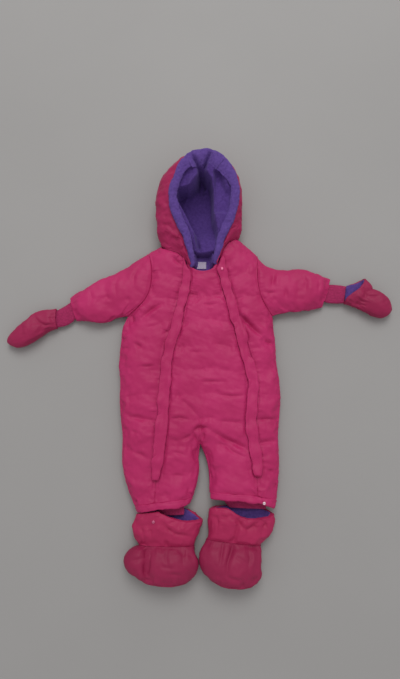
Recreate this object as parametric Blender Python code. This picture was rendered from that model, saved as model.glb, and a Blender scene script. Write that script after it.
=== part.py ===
"""Baby snowsuit with mittens and bootees, zipped up and laid flat on its back.

Frame: +X is the wearer's left, +Y runs from the bootees to the hood and +Z is up.
The origin lies on the floor, z = 0, under the middle of the body.
Sizes and tables are in millimetres, and the meshes are written in metres.

The padded shell is one height field over the flat outline of body, legs and sleeves.
Each cut piece is a patch of that field with its own wall, so neighbours meet at seams.
Hood, cuffs, mittens and bootees are tubes and cups through rings of named sections.
"""

import math
from collections import namedtuple

import bmesh
import bpy
import numpy as np

MM = 0.001

# Clearances between cut pieces
SEAM_GAP = 0.3
HOOD_SEAM_GAP = 0.9
HEM_SEAM_GAP = 0.6
LINING_GAP = 0.8
ZIP_GAP = 1.8

# Heights of the padded body lying on the floor
BACK_WALL = 14.0
LAYER_GAP = 2.0
INNER_STEP = 0.3
SHOULDER_INSET_X = 3.0
SHOULDER_INSET_Y = 12.6
BODY_TOP = 33.0
SLEEVE_TOP = 31.0
SIDE_SEAM_Z = 15.0
EDGE_ROUND = 45.0
BACK_ROUND = 20.0

# Where the padding thins and the layers part
CUFF_TOP = 17.5
CUFF_FLOOR = 3.0
CUFF_GAP = 11.5
CUFF_SEAM_Z = 8.5
CUFF_START = 10.0
CUFF_TAPER = 30.0
NECK_TOP = 39.0
NECK_GAP = 10.0
NECK_TAPER = 45.0
HEM_TOP = 37.0
HEM_GAP = 12.0
HEM_START = 8.0
HEM_TAPER = 52.0

# Quilting and seams, as depths under the padded surface
QUILT_PITCH = 46.0
QUILT_START_Y = -132.0
QUILT_DEPTH = 2.4
SLEEVE_QUILT_X = 140.0
SEAM_DEPTH = 3.0
SEAM_SPREAD = 7.0

# Rows of the body patches: neck to armpit, armpit to crotch, crotch to hem
SHOULDER_STEPS = 2
ARMHOLE_STEPS = 10
TOP_STEPS = SHOULDER_STEPS + ARMHOLE_STEPS
TORSO_STEPS = 20
LEG_STEPS = 8
ARMPIT_Y = 65.0
CROTCH_Y = -175.0
CROTCH_ROW = TOP_STEPS + TORSO_STEPS
BACK_CROTCH_ROW = TOP_STEPS + TORSO_STEPS // 2
BACK_COLUMNS = 6
SLEEVE_STEPS = 12
SIDE_CROWDING = 1.6
BAND_END_ROW = CROTCH_ROW + 6

# Zip bands
BAND_COLUMN = 9.0
BAND_HALF = 8.5
BAND_LIFT = 0.5
BAND_THICK = 4.0
BAND_SIDE = 1.5
BAND_SHOULDER = 0.72
BAND_SHOULDER_LIFT = 3.4
BAND_TIP = {0: 0.55, 1: 0.94}
ZIP_HALF = 1.0
ZIP_DROP = 1.0
ZIP_DEPTH = 4.0

# Hood
HOOD_WALL = 8.0
HOOD_LINING = 2.6
HOOD_EDGE_DROP = 7.0
HOOD_EDGE_WIDE = 18.0
HOOD_EDGE_NARROW = 9.0
HOOD_EDGE_TAPER = 0.12
HOOD_EDGE_STEPS = 40
HOOD_MIDDLE = (0.0, 285.0)
HOOD_THIN = (-0.08, 0.16)
HOOD_BEND = 0.6
HOOD_LEAST = 0.075
# Section of the rim, from its outer side over the top and back: share across, height
HOOD_EDGE_PROFILE = ((0.06, -5.8), (0.0, -3.0), (0.12, 0.2), (0.45, 1.6), (0.8, 0.2),
                     (1.0, -3.2), (0.88, -6.0), (0.45, -6.0))

# Turned hems, ribs and small trim
HEM_WALL = 7.0
HEM_PROUD = 1.2
HEM_ROUND = 0.4
RIB_WALL = 3.0
RIB_RIDGE = 0.7
FACING_THICK = 2.4
FACING_SPAN = (-58.0, 54.0)
FACING_INSET = 0.6
FACING_ROWS = (0.0, 16.0, 32.0)
FACING_COLUMNS = 8
FACING_STRAIGHT = 0.6
LABEL_SIZE = (18.0, 14.0)
LABEL_PLACE = (1.0, 166.5)
LABEL_THICK = 0.7
SNAP_RADIUS = 3.6
SNAP_HEIGHT = 2.0
SNAP_PROFILE = ((1.0, 0.0), (1.0, 0.45), (0.75, 0.85), (0.35, 1.0))
SNAP_SIDES = 12

# Mittens and bootees
MITTEN_WALLS = (3.0, 4.0, 5.0, 5.0, 5.0, 5.0, 5.0)
BOOTEE_WALL = 7.0
BOOTEE_LINING = 2.0
SOLE_THICK = 4.5
SOLE_BULGE = 3.0

Finish = namedtuple("Finish", "colour roughness metallic")
FINISHES = {
    "shell": Finish((0.55, 0.035, 0.13), 0.62, 0.0),
    "bootee_shell": Finish((0.42, 0.028, 0.085), 0.64, 0.0),
    "rib": Finish((0.47, 0.03, 0.11), 0.85, 0.0),
    "fleece": Finish((0.17, 0.12, 0.42), 0.95, 0.0),
    "tape": Finish((0.50, 0.03, 0.12), 0.7, 0.0),
    "label": Finish((0.72, 0.70, 0.74), 0.6, 0.0),
    "snap": Finish((0.75, 0.72, 0.74), 0.25, 0.9),
}

# Outline of the body at its side seams, by height along the body
BodyRow = namedtuple("BodyRow", "y right left")
BODY_SIDES = (
    BodyRow(65, -141, 138),
    BodyRow(40, -151, 139),
    BodyRow(15, -153, 142),
    BodyRow(-25, -156, 143),
    BodyRow(-60, -153, 148),
    BodyRow(-100, -153, 149),
    BodyRow(-130, -150, 146),
    BodyRow(-165, -146, 143),
    BodyRow(-205, -146, 144),
    BodyRow(-235, -141, 142),
    BodyRow(-262, -132, 139),
    BodyRow(-287, -121, 136),
    BodyRow(-310, -113, 133),
)
INNER_LEGS = (
    BodyRow(-175, -2, -2),
    BodyRow(-187, -7, 5),
    BodyRow(-205, -4, 10),
    BodyRow(-226, -4, 15),
    BodyRow(-245, -7, 15),
    BodyRow(-265, -13, 15),
    BodyRow(-290, -22, 18),
    BodyRow(-310, -26, 19),
)
# Line of each zip, from the neck to the hem
ZIP_LINES = {
    "right": ((-29, 169), (-27, 150), (-28, 130), (-35, 98), (-41, 72), (-50, 34), (-60, 2),
              (-66, -38), (-69, -90), (-73, -150), (-78, -196), (-82, -238), (-84, -281.5)),
    "left": ((34, 171), (42, 148), (49, 120), (57, 92), (65, 60), (73, 34), (81, 4),
             (90, -27), (96, -58), (96, -85), (92, -140), (96, -178), (101, -215), (102, -268.5)),
}
# Armholes, from the tip of the shoulder to the armpit
ARMHOLES = {
    "right": ((-103, 191), (-97, 170), (-95, 146), (-97, 122), (-104, 101), (-118, 84), (-141, 65)),
    "left": ((109, 187), (110, 165), (109, 140), (111, 118), (117, 98), (126, 80), (138, 65)),
}
SHOULDER_NECK = {"right": (-80, 204), "left": (75, 217)}
SLEEVE_UPPER = {
    "right": ((-103, 191), (-126, 178), (-146, 163), (-178, 147), (-211, 132), (-240, 116), (-256, 103)),
    "left": ((109, 187), (122, 170), (139, 161), (174, 162), (209, 158), (236, 149), (254, 141)),
}
SLEEVE_LOWER = {
    "right": ((-141, 65), (-158, 62), (-178, 53), (-196, 51), (-218, 54), (-241, 57)),
    "left": ((138, 65), (152, 70), (172, 72), (191, 74), (214, 77), (236, 84)),
}
NECK_FRONT = ((-80, 204), (-74, 197), (-60, 191), (-46, 186), (-36, 178), (-29, 169), (-23, 160),
              (-8, 152), (6, 150), (20, 154), (29, 163), (34, 171), (39, 184), (46, 199),
              (56, 210), (66, 215), (75, 217))
NECK_BACK = ((-80, 204), (-58, 195), (-30, 189), (-2, 186), (28, 189), (54, 200), (75, 217))
NECK_MIDDLE_X = -1.0
HOOD_CORNER_X = {"right": -21.0, "left": 31.0}
# Hem of each leg, from the inner leg to the side: seam of the turned band, then its edge
HEM_SEAM = {
    "right": ((-17, -272), (-38, -276), (-65, -278.5), (-84, -281.5), (-121, -287)),
    "left": ((16, -261), (43, -264), (70, -265.5), (102, -268.5), (137, -277)),
}
HEM_EDGE = {
    "right": ((-20, -284), (-38, -289), (-71, -291), (-93, -295), (-117, -299)),
    "left": ((17.5, -274), (43, -276), (62, -277), (98, -280), (116, -285), (134, -292)),
}

# Largest folds of the front, as straight troughs with soft ends
Fold = namedtuple("Fold", "x1 y1 x2 y2 width depth")
FOLDS = (
    Fold(70, 74, 119, 22, 8, 5.0),
    Fold(-76, 88, -118, 57, 8, 3.5),
    Fold(-141, 76, -126, 34, 9, 4.5),
    Fold(121, 12, 146, 8, 8, 3.5),
    Fold(16, -150, 92, -190, 9, 5.0),
    Fold(-4, -148, -8, -172, 9, 3.5),
    Fold(-15, -157, -40, -170, 8, 2.5),
    Fold(-42, -90, 0, -130, 9, 2.2),
    Fold(30, -134, 84, -141, 8, 2.4),
    Fold(97, -132, 150, -131, 8, 3.0),
    Fold(100, -176, 148, -172, 8, 3.0),
    Fold(-150, -124, -82, -134, 8, 2.6),
    Fold(-150, -184, -98, -201, 8, 2.6),
    Fold(144, 152, 134, 114, 8, 3.2),
    Fold(164, 120, 162, 92, 8, 2.6),
    Fold(-192, 112, -176, 90, 8, 2.6),
    Fold(-56, 180, -36, 156, 7, 2.6),
    Fold(46, 186, 33, 160, 7, 2.6),
)

# Sections of the hood from its right corner over the crown to its left corner.
# Each runs from the rim out over the bulge and under to the neck seam; neck is a
# share of that seam from corner to corner.
HoodRow = namedtuple("HoodRow", "rim bulge under neck")
HOOD_SECTIONS = (
    HoodRow((-19, 162, 48), (-20.3, 162, 44), (-21.2, 161.5, 41.5), 0.00),
    HoodRow((-24, 178, 52), (-29.5, 181, 49), (-33.5, 180, 44), 0.055),
    HoodRow((-29, 196, 57), (-42, 202, 52), (-50, 197, 44), 0.115),
    HoodRow((-37, 215, 62), (-61, 219, 52), (-72, 211, 37), 0.18),
    HoodRow((-48, 235, 67), (-82, 235, 46), (-85, 219, 27), 0.245),
    HoodRow((-57, 256, 71), (-90, 257, 44), (-77, 238, 7), 0.30),
    HoodRow((-62, 281, 75), (-91, 284, 42), (-66, 268, 0), 0.35),
    HoodRow((-59, 310, 78), (-86, 314, 42), (-60, 298, 0), 0.395),
    HoodRow((-48, 337, 80), (-74, 346, 42), (-48, 325, 0), 0.435),
    HoodRow((-34, 362, 81), (-46, 371, 42), (-30, 348, 0), 0.47),
    HoodRow((-4, 379, 81), (-5, 386, 42), (-4, 358, 0), 0.505),
    HoodRow((25, 377, 81), (26, 384, 42), (18, 354, 0), 0.53),
    HoodRow((49, 361, 79), (49, 371, 42), (34, 342, 0), 0.56),
    HoodRow((64, 336, 77), (66, 347, 42), (45, 322, 0), 0.595),
    HoodRow((73, 308, 74), (77, 317, 42), (53, 298, 0), 0.635),
    HoodRow((73, 281, 70), (81, 288, 42), (60, 272, 0), 0.68),
    HoodRow((68, 258, 66), (81, 261, 42), (70, 249, 7), 0.725),
    HoodRow((60, 238, 61), (76, 242, 42), (79, 232, 26), 0.775),
    HoodRow((51, 219, 57), (62, 226, 48), (66, 223, 38), 0.85),
    HoodRow((43, 202, 53), (48.5, 208, 49), (51.5, 208, 43), 0.915),
    HoodRow((36, 184, 50), (38.5, 188, 47), (40, 188.5, 43.5), 0.96),
    HoodRow((29, 166, 47), (30.7, 167, 42.0), (31.5, 167, 40.5), 1.00),
)
HOOD_CROWN = 10
HOOD_STEPS = 10
HOOD_LINING_ROW = 4

# Sections of ribs, mittens and bootees lie across them, from one edge to the other
Section = namedtuple("Section", "x1 y1 x2 y2 floor side top")
WRIST_RIBS = {
    "right": (
        Section(-252, 96, -240.5, 66, 4.8, 8.6, 12.8),
        Section(-262, 89, -251, 53, 3.4, 8.5, 13.8),
        Section(-276, 79.5, -272, 44.5, 3.8, 9.5, 15.2),
        Section(-288, 75, -286, 48, 5.2, 10.3, 15.4),
    ),
    "left": (
        Section(248, 129.5, 237, 97, 4.8, 8.6, 12.8),
        Section(262, 129.5, 253, 92, 3.4, 9.0, 14.5),
        Section(282.9, 127, 277.9, 92.5, 1.0, 8.0, 15.0),
    ),
}
MITTENS = {
    "right": (
        Section(-281, 82, -278, 41, 0.0, 10.5, 21.0),
        Section(-297, 80, -293, 37, 0.0, 12.0, 26.0),
        Section(-314, 76, -303, 28, 0.0, 12.0, 26.5),
        Section(-330, 66, -318, 17, 0.0, 12.0, 30.0),
        Section(-347, 53, -335, 8, 0.0, 12.0, 30.0),
        Section(-361, 40, -350, 4, 0.0, 12.0, 27.0),
        Section(-371, 26, -363, 6, 1.5, 12.0, 21.0),
    ),
    "left": (
        Section(321, 142, 278.5, 91, 0.0, 12.0, 28.0),
        Section(331, 131, 291, 85.5, 0.0, 12.0, 27.0),
        Section(334, 121, 305, 81, 0.0, 12.0, 24.0),
        Section(345, 117, 322, 72, 0.0, 12.0, 30.0),
        Section(357, 109, 338, 64, 0.0, 12.0, 31.0),
        Section(366, 98, 353, 63, 0.0, 12.0, 27.0),
        Section(370, 88, 364, 69, 1.5, 12.0, 21.0),
    ),
}
MITTEN_TIPS = {"right": (-374.5, 15, 11), "left": (371.5, 78, 11)}
# The open mitten's two mouth edges; its lower layer reaches further out than the upper
MITTEN_LIPS = {
    "upper": ((321, 142), (317, 131), (304, 116), (290, 107), (280.5, 100), (278.5, 91)),
    "lower": ((321, 142), (309, 137), (297, 130.5), (284.5, 127), (280.5, 110), (278.5, 91)),
}

ANKLE_RIBS = {
    "right": (
        Section(-42, -269, -76, -271, 14.8, 18.1, 21.7),
        Section(-34, -280, -80, -283, 14.6, 18.4, 22.7),
        Section(-30, -293, -78, -295, 10.4, 16.0, 22.0),
        Section(-31, -306, -75, -307, 10.2, 15.5, 20.6),
    ),
    "left": (
        Section(44, -256, 102, -259, 14.8, 18.2, 21.9),
        Section(39, -267, 113, -272, 14.6, 18.6, 23.0),
        Section(42, -280, 117, -283, 10.4, 16.0, 22.0),
        Section(52, -293, 119, -296, 10.2, 15.5, 20.6),
    ),
}
BOOTEE_SHAFTS = {
    "right": (
        Section(4, -311, -119, -301, 0.0, 14.0, 35.0),
        Section(4, -319, -124, -315, 0.0, 14.0, 36.0),
        Section(-1, -331, -126, -329, 0.0, 14.0, 36.0),
        Section(-7, -344, -121, -343, 0.0, 14.0, 34.0),
        Section(-12, -356, -113, -354, 0.0, 14.0, 30.0),
    ),
    "left": (
        Section(134, -300, 12, -292, 0.0, 14.0, 35.0),
        Section(137, -312, 11, -307, 0.0, 14.0, 36.0),
        Section(133, -325, 11, -321, 0.0, 14.0, 36.0),
        Section(124, -340, 14, -335, 0.0, 14.0, 34.0),
        Section(108, -355, 10, -344, 0.0, 14.0, 30.0),
    ),
}
BOOTEE_MOUTHS = {
    "right": {
        "upper": ((4, -311), (-18, -313), (-38, -311.5), (-58, -305),
                  (-74, -295), (-98, -298), (-119, -301)),
        "lower": ((4, -311), (-6, -304), (-22, -294), (-45, -291.5),
                  (-74, -294), (-98, -298), (-119, -301)),
    },
    "left": {
        "upper": ((134, -300), (124, -306.5), (100, -308), (76, -307.5),
                  (65, -301), (55, -292), (34, -288), (12, -292)),
        "lower": ((134, -300), (122, -295), (105, -291), (85, -289),
                  (64, -289), (45, -288), (30, -288), (12, -292)),
    },
}
BOOTEE_FEET = {
    "right": (
        Section(-12, -357, -113, -355.5, 0.0, 14.0, 30.0),
        Section(-10, -366, -130, -361, 0.0, 17.0, 38.0),
        Section(-5, -377, -138, -373, 0.0, 19.0, 44.0),
        Section(-4, -390, -139, -386, 0.0, 20.0, 46.0),
        Section(-8, -401, -132, -397, 0.0, 20.0, 44.0),
        Section(-17, -409, -116, -404, 2.0, 20.0, 40.0),
    ),
    "left": (
        Section(108, -356.5, 9, -345.5, 0.0, 14.0, 30.0),
        Section(109, -367, 0, -356, 0.0, 17.0, 39.0),
        Section(110, -380, -4, -371, 0.0, 19.0, 45.0),
        Section(109, -394, -4, -386, 0.0, 20.0, 46.0),
        Section(107, -406, 2, -398, 0.0, 20.0, 44.0),
        Section(101, -414, 13, -406, 2.0, 20.0, 40.0),
    ),
}
# How far each foot section bows out towards the sole in its middle
FOOT_BOWS = (0.0, 1.0, 2.5, 4.0, 7.5, 11.0)
FOOT_CREASES = {
    "right": (
        Fold(-110, -354, -94, -366, 6, 4.0),
        Fold(-95, -362, -95, -412, 6, 8.0),
        Fold(-60, -358, -63, -384, 6, 2.5),
    ),
    "left": (
        Fold(55, -355, 43, -402, 6, 6.0),
        Fold(64, -357, 102, -359, 6, 3.0),
        Fold(84, -362, 88, -384, 6, 2.0),
    ),
}
# How full a lying tube is above, and how soon its under side reaches the floor
CROWN_ROUND = 0.75
FLAT_SHARE = 1.3
FLAT_ROUND = 0.8
RING_STEPS = 24
FOOT_STEPS = 32
WRIST_STEPS = 40
ANKLE_STEPS = 48
SNAP_ROW = 2
SNAP_LIFT = 1.1
BOOTEE_SNAP = (-85, -312, 35.2)
HEM_SNAP = (113, -280, 35.9)


# ---------------------------------------------------------------- curves and patches

def smooth(knots, steps=10):
    """Points on the smooth curve through the knots."""
    knots = np.asarray(knots, float)
    padded = np.vstack([2 * knots[0] - knots[1], knots, 2 * knots[-1] - knots[-2]])
    points = []
    for start in range(len(knots) - 1):
        before, here, after, beyond = padded[start:start + 4]
        for step in range(steps):
            u = step / steps
            points.append(0.5 * (2 * here + (after - before) * u
                                 + (2 * before - 5 * here + 4 * after - beyond) * u ** 2
                                 + (3 * here - before - 3 * after + beyond) * u ** 3))
    points.append(knots[-1])
    return np.array(points)


def lengths(line):
    """Distance along a line at each of its points."""
    return np.concatenate([[0.0], np.cumsum(np.linalg.norm(np.diff(line, axis=0), axis=1))])


def resample(line, shares):
    """Points at the given shares of a line's length."""
    along = lengths(line)
    targets = np.asarray(shares) * along[-1]
    return np.column_stack([np.interp(targets, along, line[:, k]) for k in range(line.shape[1])])


def even(line, steps):
    """A line cut into equal steps."""
    return resample(line, np.linspace(0, 1, steps + 1))


def at_y(line, ys):
    """Points of a line that runs down in y, at given y."""
    return np.column_stack([np.interp(-np.asarray(ys), -line[:, 1], line[:, 0]), ys])


def between_x(line, x_start, x_end):
    """The stretch of a line, monotonic in x, between two x, in that order."""
    low, high = sorted((x_start, x_end))
    inside = line[(line[:, 0] > low + 0.01) & (line[:, 0] < high - 0.01)]
    ends = [[x, np.interp(x, line[:, 0], line[:, 1])] for x in (low, high)]
    part = np.vstack([ends[0], inside, ends[1]])
    return part if x_start < x_end else part[::-1]


def normals_of(line):
    """Unit normals to the left of a plan line."""
    tangent = np.gradient(line, axis=0)
    tangent /= np.linalg.norm(tangent, axis=1)[:, None]
    return np.column_stack([-tangent[:, 1], tangent[:, 0]])


def distance_to(lines, points):
    """Least distance from each plan point to any of the lines."""
    flat = points.reshape(-1, 2)
    best = np.full(len(flat), 1e9)
    for line in lines:
        start = line[:-1]
        run = line[1:] - start
        size = np.maximum((run ** 2).sum(axis=1), 1e-9)
        to_point = flat[:, None, :] - start[None]
        share = np.clip((to_point * run[None]).sum(axis=2) / size, 0, 1)
        gap = to_point - share[..., None] * run[None]
        best = np.minimum(best, np.sqrt((gap ** 2).sum(axis=2)).min(axis=1))
    return best.reshape(points.shape[:-1])


def coons(edge_a, edge_b, first, last, shares):
    """Plan points of a four-sided patch; shares run from edge a to edge b in each row."""
    rows = len(edge_a)
    down = np.linspace(0, 1, rows)[:, None, None]
    across = shares[..., None]
    sides = (1 - across) * edge_a[:, None] + across * edge_b[:, None]
    top = np.array([resample(first, row) for row in shares])
    bottom = np.array([resample(last, row) for row in shares])
    corners = ((1 - down) * ((1 - across) * first[0] + across * first[-1])
               + down * ((1 - across) * last[0] + across * last[-1]))
    return sides + (1 - down) * top + down * bottom - corners


def round_over(share):
    """Quarter-round rise from 0 to 1."""
    share = np.clip(share, 0, 1)
    return np.sqrt(1 - (1 - share) ** 2)


def ease(value, low, high):
    """Soft step from 0 at low to 1 at high."""
    share = np.clip((value - low) / (high - low), 0, 1)
    return share * share * (3 - 2 * share)


def mix(start, end, share):
    """Value at a share of the way from start to end."""
    return start + (end - start) * share


# ---------------------------------------------------------------- outline of the suit

def side_line(rows, side):
    """Smooth plan line through one column of a body table."""
    return smooth([(getattr(row, side), row.y) for row in rows])


class Outline:
    """The flat outline of the suit and the distances that shape its padding."""

    def __init__(self):
        self.neck_front = smooth(NECK_FRONT)
        self.neck_back = smooth(NECK_BACK)
        self.sides = {side: side_line(BODY_SIDES, side) for side in SIDES}
        self.inner = {side: side_line(INNER_LEGS, side) for side in SIDES}
        self.zips = {side: smooth(ZIP_LINES[side]) for side in SIDES}
        self.armholes = {side: smooth(ARMHOLES[side]) for side in SIDES}
        self.uppers = {side: smooth(SLEEVE_UPPER[side]) for side in SIDES}
        self.lowers = {side: smooth(SLEEVE_LOWER[side]) for side in SIDES}
        self.cuffs = {side: np.array([SLEEVE_UPPER[side][-1], SLEEVE_LOWER[side][-1]], float)
                      for side in SIDES}
        self.hems = {side: smooth(HEM_EDGE[side]) for side in SIDES}
        self.edges = []
        for side in SIDES:
            reach = 40.0 * SIDES[side]
            upper = np.vstack([SHOULDER_NECK[side], self.uppers[side],
                               self.uppers[side][-1] + (reach, -20.0)])
            lower = np.vstack([self.lowers[side][-1] + (reach, -10.0), self.lowers[side][::-1],
                               self.sides[side]])
            self.edges += [upper, lower, self.inner[side]]

    def cuff_distance(self, points):
        """Distance to the nearer sleeve end."""
        return distance_to(self.cuffs.values(), points)


SIDES = {"right": -1, "left": 1}
OUTLINE = Outline()


def opened(points):
    """How near each point is to a cuff, the neck and a hem: three shares from 0 to 1."""
    cuff = 1 - ease(OUTLINE.cuff_distance(points), CUFF_START, CUFF_START + CUFF_TAPER)
    neck = 1 - ease(distance_to([OUTLINE.neck_front], points), 0, NECK_TAPER)
    hem = 1 - ease(distance_to(OUTLINE.hems.values(), points), HEM_START, HEM_START + HEM_TAPER)
    return cuff, neck, hem


def levels(points):
    """Heights of side seam, inside of the back, inside of the front and top."""
    cuff, neck, hem = opened(points)
    sleeve = ease(np.abs(points[..., 0]), 110, 150) * ease(points[..., 1], 30, 70)
    seam = mix(SIDE_SEAM_Z, CUFF_SEAM_Z, cuff)
    back = mix(BACK_WALL, CUFF_FLOOR, cuff)
    gap = LAYER_GAP + (NECK_GAP - LAYER_GAP) * neck + (HEM_GAP - LAYER_GAP) * hem
    gap = mix(gap, CUFF_GAP, cuff)
    top = mix(BODY_TOP, SLEEVE_TOP, sleeve)
    top = top + (NECK_TOP - BODY_TOP) * neck + (HEM_TOP - BODY_TOP) * hem
    near = 1 - round_over(OUTLINE.cuff_distance(points) / (0.6 * CUFF_TAPER))
    return seam, back, back + gap, mix(top, CUFF_TOP, near)


def groove(lines, points, depth, spread):
    """Soft trough along lines."""
    return -depth * np.exp(-(distance_to(lines, points) / spread) ** 2)


def trough(fold, points):
    """Soft straight trough that fades at both ends."""
    start = np.array([fold.x1, fold.y1], float)
    run = np.array([fold.x2, fold.y2], float) - start
    share = np.clip(((points - start) @ run) / (run @ run), 0, 1)
    gap = np.linalg.norm(points - (start + share[..., None] * run), axis=-1)
    fade = 0.35 + 0.65 * np.sin(math.pi * share)
    return -fold.depth * fade * np.exp(-(gap / fold.width) ** 2)


def relief(points):
    """Quilting, sewn seams and folds of the front, as depths below the padding."""
    sleeve = ease(np.abs(points[..., 0]), 128, 142) * ease(points[..., 1], 50, 66)
    along_body = (points[..., 1] - QUILT_START_Y) / QUILT_PITCH
    along_sleeve = (np.abs(points[..., 0]) - SLEEVE_QUILT_X) / QUILT_PITCH
    phase = np.where(sleeve > 0.5, along_sleeve, along_body)
    puff = QUILT_DEPTH * (np.sqrt(np.abs(np.sin(math.pi * phase))) - 1)
    puff *= np.abs(2 * sleeve - 1)
    seams = groove(OUTLINE.armholes.values(), points, SEAM_DEPTH, SEAM_SPREAD)
    seams += groove(OUTLINE.zips.values(), points, SEAM_DEPTH, SEAM_SPREAD)
    return puff + seams + sum(trough(fold, points) for fold in FOLDS)


def front_outside(points):
    """Height of the outer skin of the front and the sleeves' upper side."""
    seam, _, _, top = levels(points)
    rise = round_over(distance_to(OUTLINE.edges, points) / EDGE_ROUND)
    return seam + (top - seam) * rise + relief(points) * rise


def front_inside(points):
    """Height of the inner skin of the front."""
    seam, back, front, _ = levels(points)
    inset = distance_to(OUTLINE.edges, points) - back
    rise = round_over(inset / (EDGE_ROUND - BACK_WALL))
    return seam + INNER_STEP + (front - seam - INNER_STEP) * rise


def back_outside(points):
    """Height of the outer skin of the back, flat on the floor but for its rolled edge."""
    seam, _, _, _ = levels(points)
    return seam * (1 - round_over(distance_to(OUTLINE.edges, points) / BACK_ROUND))


def back_inside(points):
    """Height of the inner skin of the back."""
    seam, back, _, _ = levels(points)
    inset = distance_to(OUTLINE.edges, points) - back
    return seam - INNER_STEP - (seam - back - INNER_STEP) * round_over(inset / BACK_ROUND)


def raised(points, height):
    """Plan points with their heights."""
    return np.concatenate([points, height(points)[..., None]], axis=-1)


# ---------------------------------------------------------------- mesh building

class Shell:
    """Collects the faces of one piece and shares the points that coincide."""

    def __init__(self):
        self.points = []
        self.index = {}
        self.faces = []

    def point(self, place):
        key = tuple(round(float(value), 3) for value in place)
        if key not in self.index:
            self.index[key] = len(self.points)
            self.points.append([value * MM for value in place])
        return self.index[key]

    def face(self, *places):
        corners = []
        for place in places:
            corner = self.point(place)
            if corner not in corners:
                corners.append(corner)
        if len(corners) > 2:
            self.faces.append(corners)

    def sheet(self, grid):
        """Triangles over a grid of points, split the same way throughout."""
        for row in range(len(grid) - 1):
            for column in range(len(grid[0]) - 1):
                here = grid[row][column]
                across = grid[row + 1][column + 1]
                self.face(here, grid[row][column + 1], across)
                self.face(here, across, grid[row + 1][column])

    def rim(self, fine, coarse):
        """Strip between an edge and one with every second point of it."""
        for step in range(len(coarse) - 1):
            start, middle, end = fine[2 * step:2 * step + 3]
            self.face(start, middle, coarse[step])
            self.face(middle, coarse[step + 1], coarse[step])
            self.face(middle, end, coarse[step + 1])

    def strip(self, edge, other):
        """Strip between two edges with as many points."""
        self.sheet([edge, other])

    def fan(self, ring, centre):
        """Triangles from a closed ring to a point."""
        for step in range(len(ring) - 1):
            self.face(ring[step], ring[step + 1], centre)

    def finish(self, name, finish):
        """Make the object, with its faces pointing out."""
        mesh = bpy.data.meshes.new(name)
        mesh.from_pydata(self.points, [], self.faces)
        work = bmesh.new()
        work.from_mesh(mesh)
        bmesh.ops.recalc_face_normals(work, faces=work.faces)
        work.to_mesh(mesh)
        work.free()
        mesh.shade_smooth()
        mesh.set_sharp_from_angle(angle=math.radians(50))
        mesh.materials.append(material(finish))
        piece = bpy.data.objects.new(name, mesh)
        bpy.context.scene.collection.objects.link(piece)
        return piece


def material(name):
    """Principled material of one finish, made once."""
    if name in bpy.data.materials:
        return bpy.data.materials[name]
    finish = FINISHES[name]
    made = bpy.data.materials.new(name)
    made.use_nodes = True
    shader = made.node_tree.nodes["Principled BSDF"]
    shader.inputs["Base Color"].default_value = (*finish.colour, 1.0)
    shader.inputs["Roughness"].default_value = finish.roughness
    shader.inputs["Metallic"].default_value = finish.metallic
    return made


def every_second(grid):
    """Every second row and column of a grid."""
    return grid[::2, ::2]


def closed(ring):
    """A ring with its first point repeated at the end."""
    return np.concatenate([ring, ring[:1]])


def closed_rows(rings):
    """Rings as grid rows that close on themselves."""
    return np.array([closed(ring) for ring in rings])


def tube(name, finish, outer, inner):
    """Piece open at both ends between outer rings and every-second-point inner rings."""
    shell = Shell()
    outer = closed_rows(outer)
    inner = closed_rows(inner)
    shell.sheet(outer)
    shell.sheet(inner)
    shell.rim(outer[0], inner[0])
    shell.rim(outer[-1], inner[-1])
    return shell.finish(name, finish)


def cup(name, finish, outer, inner, outer_tip, inner_tip):
    """Piece open at its first ring and closed at its tip."""
    shell = Shell()
    outer = closed_rows(outer)
    inner = closed_rows(inner)
    shell.sheet(outer)
    shell.sheet(inner)
    shell.rim(outer[0], inner[0])
    shell.fan(outer[-1], outer_tip)
    shell.fan(inner[-1], inner_tip)
    return shell.finish(name, finish)


# ---------------------------------------------------------------- body panels

def shares_toward_side(length, columns, first_column):
    """Column shares: a first column of set width, then ones that crowd towards the far edge."""
    start = first_column / length
    rest = 1 - (1 - np.linspace(0, 1, columns)) ** SIDE_CROWDING
    return np.concatenate([[0.0], start + (1 - start) * rest])


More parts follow.
